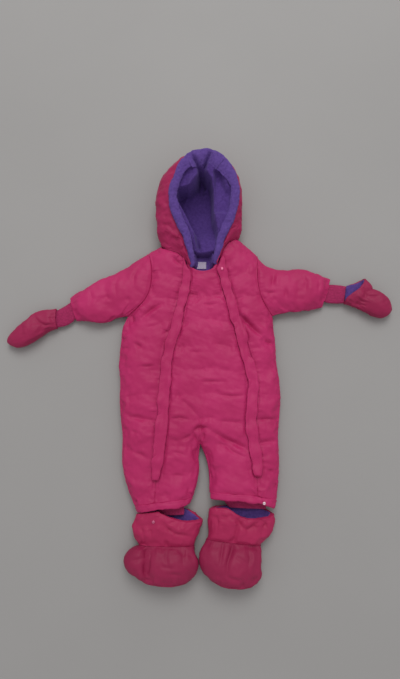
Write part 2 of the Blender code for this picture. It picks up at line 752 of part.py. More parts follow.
class Panel:
    """One side's half of a body layer between a middle edge and an outer edge."""

    def __init__(self, side, outside, inside):
        self.side = side
        self.sign = SIDES[side]
        self.outside = outside
        self.inside = inside

    def rows_down(self, top, line, hem_y):
        """Edge points: evenly down a top stretch, then by height to the crotch and hem."""
        torso = at_y(line, np.linspace(ARMPIT_Y, CROTCH_Y, TORSO_STEPS + 1)[1:])
        leg = at_y(line, np.linspace(CROTCH_Y, hem_y, LEG_STEPS + 1)[1:])
        return np.vstack([even(top, TOP_STEPS), torso, leg])

    def side_edge(self):
        """Outer edge: shoulder, armhole, side seam."""
        shoulder = np.array([SHOULDER_NECK[self.side], ARMHOLES[self.side][0]], float)
        armhole = even(OUTLINE.armholes[self.side], ARMHOLE_STEPS)
        armhole[1:-1] -= self.sign * SEAM_GAP / 2 * normals_of(armhole)[1:-1]
        line = OUTLINE.sides[self.side]
        torso = at_y(line, np.linspace(ARMPIT_Y, CROTCH_Y, TORSO_STEPS + 1)[1:])
        leg = at_y(line, np.linspace(CROTCH_Y, HEM_SEAM[self.side][-1][1], LEG_STEPS + 1)[1:])
        return np.vstack([even(shoulder, SHOULDER_STEPS), armhole[1:], torso, leg])

    def side_inset(self, edge):
        """How the inner skin draws in from the outer edge: nowhere along the armhole."""
        along = -self.sign * np.abs(normals_of(edge)[:, 0])
        inset = np.column_stack([along * self.wall_at(edge), np.zeros(len(edge))])
        inset[:SHOULDER_STEPS + 1] = (-self.sign * SHOULDER_INSET_X, -SHOULDER_INSET_Y)
        inset[SHOULDER_STEPS + 1:TOP_STEPS] = 0.0
        inset[-1] = self.along_hem(-1, -2) * self.wall_at(edge[-1:])
        return inset

    def along_hem(self, start, end):
        """Unit vector between two knots of the hem's seam."""
        run = np.subtract(HEM_SEAM[self.side][end], HEM_SEAM[self.side][start])
        return run / np.linalg.norm(run)

    def zip_edge(self, way):
        """Edge along the zip, set off from the zip's line, and a plain seam below the zip."""
        line = OUTLINE.zips[self.side]
        top = line[line[:, 1] > ARMPIT_Y]
        top = np.vstack([top, at_y(line, [ARMPIT_Y])])
        edge = self.rows_down(top, line, ZIP_LINES[self.side][-1][1])
        below = ease(np.arange(len(edge)), BAND_END_ROW - 3, BAND_END_ROW - 1)
        edge[:, 0] += way * mix(ZIP_GAP, SEAM_GAP / 2, below)
        return edge

    def middle_edge(self, top_y):
        """Edge down the middle of the body to the crotch, then down the inner leg."""
        top = np.array([[NECK_MIDDLE_X, top_y], [NECK_MIDDLE_X, ARMPIT_Y]])
        down = np.linspace(ARMPIT_Y, CROTCH_Y, TORSO_STEPS + 1)[1:]
        torso = np.column_stack([mix(NECK_MIDDLE_X, INNER_LEGS[0].right, (ARMPIT_Y - down)
                                     / (ARMPIT_Y - CROTCH_Y)), down])
        line = OUTLINE.inner[self.side]
        leg = at_y(line, np.linspace(CROTCH_Y, HEM_SEAM[self.side][0][1], LEG_STEPS + 1)[1:])
        return np.vstack([even(top, TOP_STEPS), torso, leg])

    def middle_inset(self, edge):
        """The inner skin draws up from the crotch and in from the inner leg."""
        inset = np.zeros_like(edge)
        inset[CROTCH_ROW] = (0.0, BACK_WALL)
        inset[CROTCH_ROW + 1:, 0] = self.sign * self.wall_at(edge[CROTCH_ROW + 1:])
        inset[-1] = self.along_hem(0, 1) * self.wall_at(edge[-1:])
        return inset

    @staticmethod
    def wall_at(points):
        """Thickness of the wall at the outline."""
        return levels(points)[1]

    def skins(self, plan, shares, inset_a, inset_b):
        """Outer grid and every-second inner grid of a patch."""
        outer = raised(plan, self.outside)
        across = every_second(shares)[..., None]
        moved = every_second(plan) + (1 - across) * inset_a[::2, None] + across * inset_b[::2, None]
        return outer, raised(moved, self.inside)


def front_side(side):
    """Front panel between zip and side seam."""
    panel = Panel(side, front_outside, front_inside)
    edge_a = panel.zip_edge(panel.sign)
    edge_b = panel.side_edge()
    widths = np.linalg.norm(edge_b - edge_a, axis=1)
    shares = np.array([shares_toward_side(width, 8, BAND_COLUMN) for width in widths])
    neck = between_x(OUTLINE.neck_front, edge_a[0, 0], SHOULDER_NECK[side][0])
    neck[0] = edge_a[0]
    neck[-1] = edge_b[0]
    hem = np.array([edge_a[-1], edge_b[-1]])
    plan = coons(edge_a, edge_b, neck, hem, shares)
    outer, inner = panel.skins(plan, shares, np.zeros_like(edge_a), panel.side_inset(edge_b))
    shell = Shell()
    for grid in (outer, inner):
        shell.sheet(grid)
    for fine, coarse in border(outer, inner):
        shell.rim(fine, coarse)
    shell.finish("front_side_" + side, "shell")
    return outer


def border(outer, inner):
    """The four edges of a grid with those of its every-second grid."""
    return ((outer[0], inner[0]), (outer[-1], inner[-1]),
            (outer[:, 0], inner[:, 0]), (outer[:, -1], inner[:, -1]))


def front_centre_half(side):
    """Outer and inner grid of the middle front panel on one side of the middle line."""
    panel = Panel(side, front_outside, front_inside)
    middle_y = np.interp(NECK_MIDDLE_X, OUTLINE.neck_front[:, 0], OUTLINE.neck_front[:, 1])
    edge_a = panel.middle_edge(middle_y)
    edge_b = panel.zip_edge(-panel.sign)
    widths = np.linalg.norm(edge_b - edge_a, axis=1)
    crowd = mix(1.0, 1.5, ease(np.arange(len(widths)), CROTCH_ROW - 4, CROTCH_ROW + 2))
    shares = []
    for width, power in zip(widths, crowd):
        last = 1 - BAND_COLUMN / width
        shares.append(np.append(last * np.linspace(0, 1, 8) ** power, 1.0))
    shares = np.array(shares)
    neck = between_x(OUTLINE.neck_front, NECK_MIDDLE_X, edge_b[0, 0])
    neck[0] = edge_a[0]
    neck[-1] = edge_b[0]
    inner_hem = smooth([edge_a[-1], *HEM_SEAM[side][1:3], edge_b[-1]])
    plan = coons(edge_a, edge_b, neck, inner_hem, shares)
    return panel.skins(plan, shares, panel.middle_inset(edge_a), np.zeros_like(edge_b))


def split_layer(name, halves, crotch_row):
    """One piece made of two halves that join above the crotch."""
    shell = Shell()
    for outer, inner in halves:
        shell.sheet(outer)
        shell.sheet(inner)
        shell.rim(outer[0], inner[0])
        shell.rim(outer[-1], inner[-1])
        shell.rim(outer[:, -1], inner[:, -1])
        shell.rim(outer[crotch_row:, 0], inner[crotch_row // 2:, 0])
    return shell.finish(name, "shell")


def back_half(side):
    """Outer and inner grid of the back on one side of the middle line."""
    panel = Panel(side, back_outside, back_inside)
    middle_y = np.interp(NECK_MIDDLE_X, OUTLINE.neck_back[:, 0], OUTLINE.neck_back[:, 1])
    edge_a = panel.middle_edge(middle_y)
    edge_b = panel.side_edge()
    columns = 0.5 - 0.5 * np.cos(math.pi * np.linspace(0, 1, BACK_COLUMNS + 1))
    shares = np.tile(columns, (len(edge_a), 1))
    neck = between_x(OUTLINE.neck_back, edge_a[0, 0], SHOULDER_NECK[side][0])
    neck[0] = edge_a[0]
    neck[-1] = edge_b[0]
    hem = smooth([edge_a[-1], *HEM_SEAM[side][1:-1], edge_b[-1]])
    plan = coons(edge_a, edge_b, neck, hem, shares)
    kept = list(range(TOP_STEPS)) + list(range(TOP_STEPS, len(edge_a), 2))
    inset_a = panel.middle_inset(edge_a)
    outer, inner = panel.skins(plan[kept], shares[kept], inset_a[kept],
                               panel.side_inset(edge_b)[kept])
    for grid in (outer, inner):
        grid[..., 2] = np.minimum(grid[..., 2], SIDE_SEAM_Z - SEAM_GAP)
    return outer, inner


def front_panels():
    """The three front panels; returns the outer grids that the zip bands follow."""
    halves = {side: front_centre_half(side) for side in SIDES}
    split_layer("front_centre", halves.values(), CROTCH_ROW)
    sides = {side: front_side(side) for side in SIDES}
    return {side: (halves[side][0], sides[side]) for side in SIDES}


# ---------------------------------------------------------------- sleeves

def sleeve(side):
    """Sleeve as one tube: upper side from the front's field, under side from the back's."""
    upper = even(OUTLINE.uppers[side], SLEEVE_STEPS)
    lower = even(OUTLINE.lowers[side], SLEEVE_STEPS)
    armhole = even(OUTLINE.armholes[side], ARMHOLE_STEPS)
    armhole[1:-1] += SIDES[side] * SEAM_GAP / 2 * normals_of(armhole)[1:-1]
    armhole[0] += (SIDES[side] * SEAM_GAP, 0.0)
    armhole[-1] += (SIDES[side] * SEAM_GAP, 0.0)
    upper[0] = armhole[0]
    lower[0] = armhole[-1]
    cuff = OUTLINE.cuffs[side]
    plain = np.linspace(0, 1, ARMHOLE_STEPS + 1)
    crowded = 0.5 - 0.5 * np.cos(math.pi * plain)
    toward = ease(np.arange(SLEEVE_STEPS + 1), 0, 4)[:, None]
    shares = mix(plain[None], crowded[None], toward)
    plan = coons(upper, lower, armhole, cuff, shares)
    inward_upper = inward(upper, lower)
    inset_upper = inward_upper * levels(upper)[1][:, None]
    inset_lower = -inward_upper * levels(lower)[1][:, None]
    across = every_second(shares)[..., None]
    inner_plan = (every_second(plan) + (1 - across) * inset_upper[::2, None]
                  + across * inset_lower[::2, None])
    outer = np.concatenate([raised(plan, front_outside),
                            raised(plan, back_outside)[:, -2:0:-1]], axis=1)
    inner = np.concatenate([raised(inner_plan, front_inside),
                            raised(inner_plan, back_inside)[:, -2:0:-1]], axis=1)
    tube("sleeve_" + side, "shell", outer, inner)


def inward(edge, other):
    """Unit vectors from each edge point towards the other edge."""
    across = other - edge
    return across / np.linalg.norm(across, axis=1)[:, None]


# ---------------------------------------------------------------- zip bands

def zip_trim(side, centre, outer_side):
    """Zip in the slot between two panels and the padded band that covers it."""
    seam = (centre[:, -1] + outer_side[:, 0]) / 2
    share = BAND_HALF / BAND_COLUMN
    edge_in = mix(centre[:, -1], centre[:, -2], share)
    edge_out = mix(outer_side[:, 0], outer_side[:, 1], share)
    rings = []
    for row in range(1, BAND_END_ROW + 1):
        narrow = BAND_TIP.get(BAND_END_ROW - row, 1.0)
        near = mix(seam[row], edge_in[row], narrow)
        far = mix(seam[row], edge_out[row], narrow)
        rings.append(band_ring(near, seam[row], far))
    shell = Shell()
    rings = closed_rows(rings)
    shell.sheet(rings)
    for end in (rings[0], rings[-1]):
        shell.fan(end, end[:-1].mean(axis=0))
    shell.finish("placket_" + side, "shell")

    shell = Shell()
    half = np.array([ZIP_HALF, 0.0, 0.0])
    drop = np.array([0.0, 0.0, ZIP_DROP])
    low = np.array([0.0, 0.0, ZIP_DEPTH])
    strip = []
    for row in range(2, BAND_END_ROW - 2, 2):
        place = seam[row] - drop
        strip.append([place - half, place + half, place + half - low, place - half - low])
    strip = closed_rows(strip)
    shell.sheet(strip)
    shell.face(*strip[0][:-1])
    shell.face(*strip[-1][:-1])
    shell.finish("zip_" + side, "tape")
    return seam[SNAP_ROW] + (0.0, 0.0, BAND_LIFT + BAND_THICK + SNAP_LIFT)


def band_ring(near, middle, far):
    """Section of a zip band lying on three points of the panels beneath."""
    lift = np.array([0.0, 0.0, BAND_LIFT])
    up = np.array([0.0, 0.0, 1.0])
    return np.array([
        near + lift,
        near + lift + up * BAND_SIDE,
        mix(middle, near, BAND_SHOULDER) + lift + up * BAND_SHOULDER_LIFT,
        middle + lift + up * BAND_THICK,
        mix(middle, far, BAND_SHOULDER) + lift + up * BAND_SHOULDER_LIFT,
        far + lift + up * BAND_SIDE,
        far + lift,
        middle + lift,
    ])


# ---------------------------------------------------------------- hood

class Hood:
    """Bowl through the hood sections, from which its pieces are set in by their depth."""

    def __init__(self):
        self.seam = self.neck_seam()
        rows = [self.section(row) for row in HOOD_SECTIONS]
        self.rim = np.array([row.rim for row in HOOD_SECTIONS], float)
        fine = []
        for column in range(HOOD_STEPS + 1):
            fine.append(smooth([row[column] for row in rows], 2))
        self.skin = np.array(fine).transpose(1, 0, 2)
        self.skin[..., 2] = np.maximum(self.skin[..., 2], 0.0)
        self.out = self.surface_normals(self.skin)
        self.share = self.wall_share()

    @staticmethod
    def neck_seam():
        """Line of the neck seam, from the right corner round the back to the left corner."""
        right = between_x(OUTLINE.neck_front, HOOD_CORNER_X["right"], SHOULDER_NECK["right"][0])
        left = between_x(OUTLINE.neck_front, SHOULDER_NECK["left"][0], HOOD_CORNER_X["left"])
        right = raised(right, front_outside) + (HOOD_SEAM_GAP, HOOD_SEAM_GAP, 0)
        left = raised(left, front_outside) + (-HOOD_SEAM_GAP, HOOD_SEAM_GAP, 0)
        back = raised(OUTLINE.neck_back, back_outside) + (0, HOOD_SEAM_GAP, 0)
        return np.vstack([right[:-2], back[1:-1], left[2:]])

    def section(self, row):
        """Points of one section from under the rim to the neck seam."""
        rim = np.array(row.rim, float) - (0, 0, HOOD_EDGE_DROP)
        neck = resample(self.seam, [row.neck])[0]
        line = smooth([rim, row.bulge, row.under, neck], 8)
        return even(line, HOOD_STEPS)

    @staticmethod
    def surface_normals(grid):
        """Unit normals of a grid, pointing out of the bowl."""
        along = np.gradient(grid, axis=0)
        down = np.gradient(grid, axis=1)
        out = np.cross(down, along)
        out /= np.maximum(np.linalg.norm(out, axis=2), 1e-9)[..., None]
        crown = out[len(out) // 2, 3]
        return out if crown[1] > 0 else -out

    def wall_share(self):
        """Share of the full wall in each section: less at the corners and in tight bends."""
        along = np.linspace(0, 1, len(self.skin))
        share = np.minimum(ease(along, *HOOD_THIN), ease(1 - along, *HOOD_THIN))
        first = self.skin[:, 1:-1] - self.skin[:, :-2]
        second = self.skin[:, 2:] - self.skin[:, 1:-1]
        sides = [np.linalg.norm(run, axis=2) for run in (first, second, first + second)]
        turn = np.linalg.norm(np.cross(first, second), axis=2)
        radius = (sides[0] * sides[1] * sides[2] / np.maximum(2 * turn, 1e-6)).min(axis=1)
        room = HOOD_BEND * radius / (HOOD_WALL + LINING_GAP + HOOD_LINING)
        share = np.clip(room, HOOD_LEAST, share)
        padded = np.pad(share, 1, mode="edge")
        return np.minimum(share, (padded[:-2] + share + padded[2:]) / 3)

    def inset(self, depth, first=0, last=None):
        """The skin moved in by a depth, or less of it where the wall is thin."""
        moved = self.skin - self.out * (depth * self.share)[:, None, None]
        return moved[first:last]


def hood_pieces():
    """Two outer halves, the lining and the padded edge."""
    hood = Hood()
    crown = 2 * HOOD_CROWN
    ranges = {"right": (0, crown + 1), "left": (crown, len(hood.skin))}
    for side, (first, last) in ranges.items():
        outer = hood.inset(0.0, first, last).copy()
        inner = every_second(hood.inset(HOOD_WALL, first, last)).copy()
        seam_end = -1 if side == "right" else 0
        for grid in (outer, inner):
            grid[seam_end, :, 0] += SIDES[side] * SEAM_GAP / 2
        shell = Shell()
        for grid in (outer, inner):
            shell.sheet(grid)
        for fine, coarse in border(outer, inner):
            shell.rim(fine, coarse)
        shell.finish("hood_" + side, "shell")

    lined = (HOOD_LINING_ROW, len(hood.skin) - HOOD_LINING_ROW)
    outer = every_second(hood.inset(HOOD_WALL + LINING_GAP, *lined))
    inner = every_second(hood.inset(HOOD_WALL + LINING_GAP + HOOD_LINING, *lined))
    shell = Shell()
    for grid in (outer, inner):
        shell.sheet(grid)
    for edge, other in ((outer[0], inner[0]), (outer[-1], inner[-1]),
                        (outer[:, 0], inner[:, 0]), (outer[:, -1], inner[:, -1])):
        shell.strip(edge, other)
    shell.finish("hood_lining", "fleece")
    hood_edge(hood)


def hood_edge(hood):
    """Padded edge that caps the hood's rim, widest round the face."""
    path = even(smooth(hood.rim), HOOD_EDGE_STEPS)
    side = normals_of(path[:, :2])
    crown = HOOD_EDGE_STEPS // 2
    if ((HOOD_MIDDLE - path[crown, :2]) @ side[crown]) < 0:
        side = -side
    share = np.linspace(0, 1, len(path))
    open_share = np.minimum(ease(share, 0.0, HOOD_EDGE_TAPER), ease(1 - share, 0.0, HOOD_EDGE_TAPER))
    widths = mix(HOOD_EDGE_NARROW, HOOD_EDGE_WIDE, open_share)
    rings = []
    for place, across, width in zip(path, side, widths):
        ring = [(*(place[:2] + across * width * u), place[2] + z) for u, z in HOOD_EDGE_PROFILE]
        rings.append(np.array(ring))
    shell = Shell()
    rings = closed_rows(rings)
    shell.sheet(rings)
    for end in (rings[0], rings[-1]):
        shell.fan(end, end[:-1].mean(axis=0))
    shell.finish("hood_edge", "fleece")


# ---------------------------------------------------------------- ribs, mittens, bootees

def ring_of(section, wall=0.0, steps=RING_STEPS, ridge=0.0, bow=0.0):
    """Points round a section that lies on its under side, set in by a wall."""
    start = np.array([section.x1, section.y1], float)
    end = np.array([section.x2, section.y2], float)
    across = (end - start) / np.linalg.norm(end - start)
    start = start + across * wall
    end = end - across * wall
    outward = np.array([across[1], -across[0]])
    if outward[1] > 0:
        outward = -outward
    low = section.floor + wall
    points = []
    for step in range(steps):
        angle = 2 * math.pi * step / steps
        share = 0.5 - 0.5 * math.cos(angle)
        lift = abs(math.sin(angle))
        plan = mix(start, end, share) + outward * bow * lift
        if math.sin(angle) >= 0:
            z = mix(section.side, section.top - wall, lift ** CROWN_ROUND)
            z += ridge * (1 if step % 2 else -1)
        else:
            z = mix(section.side, low, min(1.0, FLAT_SHARE * lift ** FLAT_ROUND))
            z += ridge * (step % 2)
        points.append((*plan, z))
    return np.array(points)


def rib(name, sections, steps):
    """Knitted rib: a flat tube whose outer points stand in ridges."""
    rows = resample_sections(sections, 4)
    outer = [ring_of(row, 0.0, steps, ridge=RIB_RIDGE / 2) for row in rows]
    inner = [ring_of(row, RIB_WALL, steps)[::2] for row in rows[::2]]
    for row, ring in zip(rows, outer):
        ring[:, 2] = np.maximum(ring[:, 2], row.floor)
    tube(name, "rib", outer, inner)


def resample_sections(sections, steps):
    """Sections evenly spaced in number along the smooth run through the given ones."""
    line = smooth([list(section) for section in sections], 8)
    share = np.linspace(0, len(line) - 1, steps + 1)
    index = np.arange(len(line))
    columns = [np.interp(share, index, line[:, k]) for k in range(line.shape[1])]
    return [Section(*row) for row in np.array(columns).T]


def lip(ring, upper, lower):
    """Move the plan points of a mouth ring onto its two edges."""
    steps = len(ring)
    half = steps // 2
    for step in range(steps):
        share = 0.5 - 0.5 * math.cos(2 * math.pi * step / steps)
        edge = upper if step <= half else lower
        ring[step, :2] = resample(edge, [share])[0]
    return ring


def hem_band(side, centre, outer_side, back):
    """Turned band round the end of a leg, sewn under the last row of the panels."""
    front_row = np.vstack([centre[-1, :-1], outer_side[-1, 1:]])
    back_row = back[-1]
    edge = smooth(HEM_EDGE[side])
    rings = []
    for drop in (0.0, 0.5, 1.0):
        bulge = HEM_PROUD * math.sin(math.pi * min(drop, 0.8))
        rings.append(hem_ring(front_row, back_row, edge, drop, bulge))
    inner = []
    for drop, ring in ((0.0, rings[0]), (1.0, rings[2])):
        inner.append(hem_inside(ring, len(front_row)))
    tube_plain("hem_band_" + side, "shell", np.array(rings), np.array(inner))


def hem_ring(front_row, back_row, edge, drop, bulge):
    """Ring of a leg's end at a share of the way down to the hem's edge."""
    ring = []
    for row, field in ((front_row, front_outside), (back_row[::-1][1:-1], back_outside)):
        reach = np.abs(row[:, 0] - front_row[0, 0]) / abs(front_row[-1, 0] - front_row[0, 0])
        target = resample(edge, np.clip(reach, 0, 1))
        plan = mix(row[:, :2] - (0.0, HEM_SEAM_GAP), target, drop)
        z = field(plan) if drop > 0 else row[:, 2]
        lift = bulge if field is front_outside else 0.0
        ring.append(np.column_stack([plan, z + lift]))
    return np.vstack(ring)


def hem_inside(ring, front_count):
    """Inner ring of a hem band, with every point moved in by the hem's wall."""
    inner = ring.copy()
    start, end = ring[0, 0], ring[front_count - 1, 0]
    share = np.clip((ring[:, 0] - start) / (end - start), 0, 1)
    inner[:, 0] = mix(start + np.sign(end - start) * HEM_WALL,
                      end - np.sign(end - start) * HEM_WALL, share)
    for part, edge in ((slice(0, front_count), ring[:front_count]),
                       (slice(front_count, None), closed(ring)[front_count - 1:])):
        order = edge[np.argsort(edge[:, 0])]
        inner[part, 1] = np.interp(inner[part, 0], order[:, 0], order[:, 1])
    thick = HEM_WALL * np.sin(math.pi * share) ** HEM_ROUND
    inner[:front_count, 2] -= thick[:front_count]
    inner[front_count:, 2] += thick[front_count:]
    return inner


def tube_plain(name, finish, outer, inner):
    """Tube whose inner rings have as many points as its outer rings."""
    shell = Shell()
    outer = closed_rows(outer)
    inner = closed_rows(inner)
    shell.sheet(outer)
    shell.sheet(inner)
    shell.strip(outer[0], inner[0])
    shell.strip(outer[-1], inner[-1])
    return shell.finish(name, finish)


def mitten(side):
    """Padded mitten: a cup with a gathered wrist, open towards the cuff."""
    rows = MITTENS[side]
    outer = [ring_of(row) for row in rows]
    inner = [ring_of(row, wall)[::2] for row, wall in zip(rows[::2], MITTEN_WALLS[::2])]
    open_mouth = side == "left"
    if open_mouth:
        upper, lower = smooth(MITTEN_LIPS["upper"]), smooth(MITTEN_LIPS["lower"])
        outer[0] = lip(outer[0], upper, lower)
        inner[0][:, :2] = pulled_in(outer[0][::2, :2], MITTEN_WALLS[0])
    tip = np.array(MITTEN_TIPS[side], float)
    inner_tip = mix(tip, inner[-1].mean(axis=0), 0.45)
    cup("mitten_" + side, "bootee_shell", outer, inner, tip, inner_tip)
    if open_mouth:
        mitten_lining(rows, inner[0])


def mitten_lining(rows, mouth):
    """Fleece sleeve just inside the open mitten, down past its gathered wrist."""
    skins = []
    for depth in (LINING_GAP, LINING_GAP + BOOTEE_LINING):
        rings = [ring_of(row, wall + depth)[::2]
                 for row, wall in zip(rows[:3:2], MITTEN_WALLS[:3:2])]
        rings[0][:, :2] = pulled_in(mouth[:, :2], depth)
        skins.append(rings)
    tube_plain("mitten_left_lining", "fleece", *skins)


def pulled_in(plan, depth):
    """Plan points of a ring moved along its span towards its middle."""
    middle = (plan[0] + plan[len(plan) // 2]) / 2
    span = plan[len(plan) // 2] - plan[0]
    width = np.linalg.norm(span)
    along = ((plan - middle) @ span) / width ** 2
    return plan - along[:, None] * 2 * depth * span[None] / width


def bootee(side):
    """Padded bootee: open shaft with lining, foot and sole."""
    shaft = BOOTEE_SHAFTS[side]
    outer = [ring_of(row) for row in shaft]
    inner = [ring_of(row, BOOTEE_WALL)[::2] for row in shaft[::2]]
    mouth = BOOTEE_MOUTHS[side]
    upper, lower = smooth(mouth["upper"]), smooth(mouth["lower"])
    outer[0] = lip(outer[0], upper, lower)
    inner[0][:, :2] = pulled_in(outer[0][::2, :2], BOOTEE_WALL)
    tube("bootee_{}_shaft".format(side), "bootee_shell", outer, inner)

    depth = BOOTEE_WALL + SEAM_GAP
    rows = shaft[:3:2]
    skins = []
    for extra in (0.0, BOOTEE_LINING):
        rings = [ring_of(row, depth + extra)[::2] for row in rows]
        rings[0][:, :2] = pulled_in(outer[0][::2, :2], depth + extra)
        skins.append(rings)
    tube_plain("bootee_{}_lining".format(side), "fleece", *skins)
    foot(side)


def foot(side):
    """Rounded foot of a bootee and its sole."""
    rows = BOOTEE_FEET[side]
    outer = [creased(ring_of(row, steps=FOOT_STEPS, bow=bow), side)
             for row, bow in zip(rows, FOOT_BOWS)]
    inner = [ring_of(rows[index], BOOTEE_WALL, steps=FOOT_STEPS, bow=FOOT_BOWS[index])[::2]
             for index in (0, 2, 4, 5)]
    tube("bootee_{}_foot".format(side), "bootee_shell", outer, inner)
    sole(side)


def creased(ring, side):
    """Ring with the foot's gathers pressed into its upper side."""
    depth = sum(trough(fold, ring[:, :2]) for fold in FOOT_CREASES[side])
    half = len(ring) // 2
    upper = np.arange(len(ring)) <= half
    ring[:, 2] += np.where(upper, depth, 0.0)
    return ring


def sole(side):
    """Oval sole that closes the foot, bulging away from the ankle."""
    row = BOOTEE_FEET[side][-1]
    edge = creased(ring_of(row, steps=FOOT_STEPS, bow=FOOT_BOWS[-1]), side)
    centre = edge.mean(axis=0)
    skins = []
    for thick in (SEAM_GAP, SOLE_THICK):
        rings = []
        for share in (1.0, 0.72, 0.4):
            ring = mix(centre, edge, share)
            ring[:, 1] -= thick + SOLE_BULGE * (1 - share ** 2)
            if thick == SOLE_THICK:
                ring[:, 2] = mix(centre[2], ring[:, 2], 0.93)
                ring[:, 0] = mix(centre[0], ring[:, 0], 0.97)
            rings.append(ring)
        skins.append(rings)
    shell = Shell()
    for rings, thick in zip(skins, (SEAM_GAP, SOLE_THICK)):
        grid = closed_rows(rings)
        shell.sheet(grid)
        shell.fan(grid[-1], centre - (0.0, thick + SOLE_BULGE, 0.0))
    shell.strip(closed(skins[0][0]), closed(skins[1][0]))
    shell.finish("bootee_{}_sole".format(side), "bootee_shell")


# ---------------------------------------------------------------- neck and small trim

def neck_facing():
    """Fleece facing on the inside of the back, seen through the neck."""
    top = between_x(OUTLINE.neck_back, *FACING_SPAN) - (0.0, FACING_INSET)
    columns = even(top, FACING_COLUMNS)
    plan = np.array([columns - (0.0, drop) for drop in FACING_ROWS])
    middle = FACING_COLUMNS // 2
    plan[1:, :, 1] = mix(plan[1:, :, 1], plan[1:, middle:middle + 1, 1], FACING_STRAIGHT)
    low = back_inside(plan) + SEAM_GAP
    bottom = np.concatenate([plan, low[..., None]], axis=-1)
    top_skin = bottom + (0.0, 0.0, FACING_THICK)
    slab("neck_facing", "fleece", bottom, top_skin)
    return top_skin


def slab(name, finish, bottom, top):
    """Closed sheet between two grids."""
    shell = Shell()
    shell.sheet(bottom)
    shell.sheet(top)
    for edge, other in ((bottom[0], top[0]), (bottom[-1], top[-1]),
                        (bottom[:, 0], top[:, 0]), (bottom[:, -1], top[:, -1])):
        shell.strip(edge, other)
    shell.finish(name, finish)


def label(facing):
    """Blank woven label on the facing."""
    height = facing[..., 2].max() + SEAM_GAP
    xs = np.linspace(-LABEL_SIZE[0] / 2, LABEL_SIZE[0] / 2, 3) + LABEL_PLACE[0]
    ys = np.linspace(-LABEL_SIZE[1] / 2, LABEL_SIZE[1] / 2, 2) + LABEL_PLACE[1]
    bottom = np.array([[(x, y, height) for x in xs] for y in ys])
    slab("label", "label", bottom, bottom + (0.0, 0.0, LABEL_THICK))


def snap(name, x, y, z):
    """Press snap: a low domed disc."""
    shell = Shell()
    rings = []
    for radius, height in SNAP_PROFILE:
        ring = [(x + SNAP_RADIUS * radius * math.cos(angle),
                 y + SNAP_RADIUS * radius * math.sin(angle), z + SNAP_HEIGHT * height)
                for angle in np.linspace(0, 2 * math.pi, SNAP_SIDES + 1)]
        rings.append(np.array(ring))
    shell.sheet(rings)
    shell.face(*rings[0][:-1])
    shell.face(*rings[-1][:-1])
    shell.finish(name, "snap")


def snaps(band_place):
    """Press snaps on the left zip band, the right bootee and the left hem."""
    snap("snap_neck", *band_place)
    snap("snap_bootee_right", *BOOTEE_SNAP)
    snap("snap_hem_left", *HEM_SNAP)


def main():
    """Clear the file and build every piece."""
    for old in list(bpy.data.objects):
        bpy.data.objects.remove(old, do_unlink=True)
    fronts = front_panels()
    backs = {side: back_half(side) for side in SIDES}
    split_layer("back", backs.values(), BACK_CROTCH_ROW)
    for side in SIDES:
        sleeve(side)
        band_place = zip_trim(side, *fronts[side])
        hem_band(side, *fronts[side], backs[side][0])
        rib("wrist_rib_" + side, WRIST_RIBS[side], WRIST_STEPS)
        rib("ankle_rib_" + side, ANKLE_RIBS[side], ANKLE_STEPS)
        mitten(side)
        bootee(side)
    hood_pieces()
    label(neck_facing())
    snaps(band_place)


main()
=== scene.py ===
"""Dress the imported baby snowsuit: quilted cloth, fleece, knitted ribs, snaps, floor, light and camera.

The suit lies on its back. +X is the wearer's left, +Y runs up to the hood and +Z is up.
Tables are in millimetres and meshes in metres.
"""

import logging
import math
from dataclasses import dataclass, field
from enum import Enum

import bmesh
import bpy
import numpy as np
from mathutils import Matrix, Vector
from mathutils.bvhtree import BVHTree
from mathutils.kdtree import KDTree


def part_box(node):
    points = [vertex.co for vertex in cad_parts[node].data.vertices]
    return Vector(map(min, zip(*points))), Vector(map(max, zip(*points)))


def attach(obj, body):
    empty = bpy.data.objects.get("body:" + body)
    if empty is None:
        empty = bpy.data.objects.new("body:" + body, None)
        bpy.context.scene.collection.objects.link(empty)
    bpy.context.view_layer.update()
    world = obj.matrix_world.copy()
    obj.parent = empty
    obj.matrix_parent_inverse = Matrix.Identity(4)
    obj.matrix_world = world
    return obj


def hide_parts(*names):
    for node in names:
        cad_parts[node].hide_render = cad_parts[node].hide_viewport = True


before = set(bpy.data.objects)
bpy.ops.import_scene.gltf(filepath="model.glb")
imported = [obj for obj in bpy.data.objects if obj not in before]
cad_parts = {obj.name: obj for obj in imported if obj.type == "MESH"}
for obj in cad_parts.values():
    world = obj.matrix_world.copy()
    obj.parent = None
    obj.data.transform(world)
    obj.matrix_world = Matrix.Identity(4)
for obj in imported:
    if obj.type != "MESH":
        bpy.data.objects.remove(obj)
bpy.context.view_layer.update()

logging.basicConfig(level=logging.INFO, format="%(message)s")
LOG = logging.getLogger("snowsuit")
MM = 0.001
BODY = "root"

# Angle from which an edge is a corner, how much less it takes at a seam, and how crisp corners stay there
SHARP = math.radians(48)
SHARP_LESS = 0.6
CRISP = 0.95
CRISP_RISE = 1.1

# How far a seam is felt in the cloth beside it, and how far its puckers start from it
REACH = 6.0
PUCKER_REACH = 3.0

# Two sewn pieces meet where their gap is narrow: the overlap, the gap that is left open, and the fade
OVERLAP = 0.12
OPEN_GAP = 2.6
OPEN_FADE = 0.6

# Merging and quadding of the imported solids
MERGE_WITHIN = 0.00001
FLAT_PAIR = math.radians(50)
SQUARE_PAIR = math.radians(70)
SPLIT_ROUNDS = 6


# ---------------------------------------------------------------- finishes

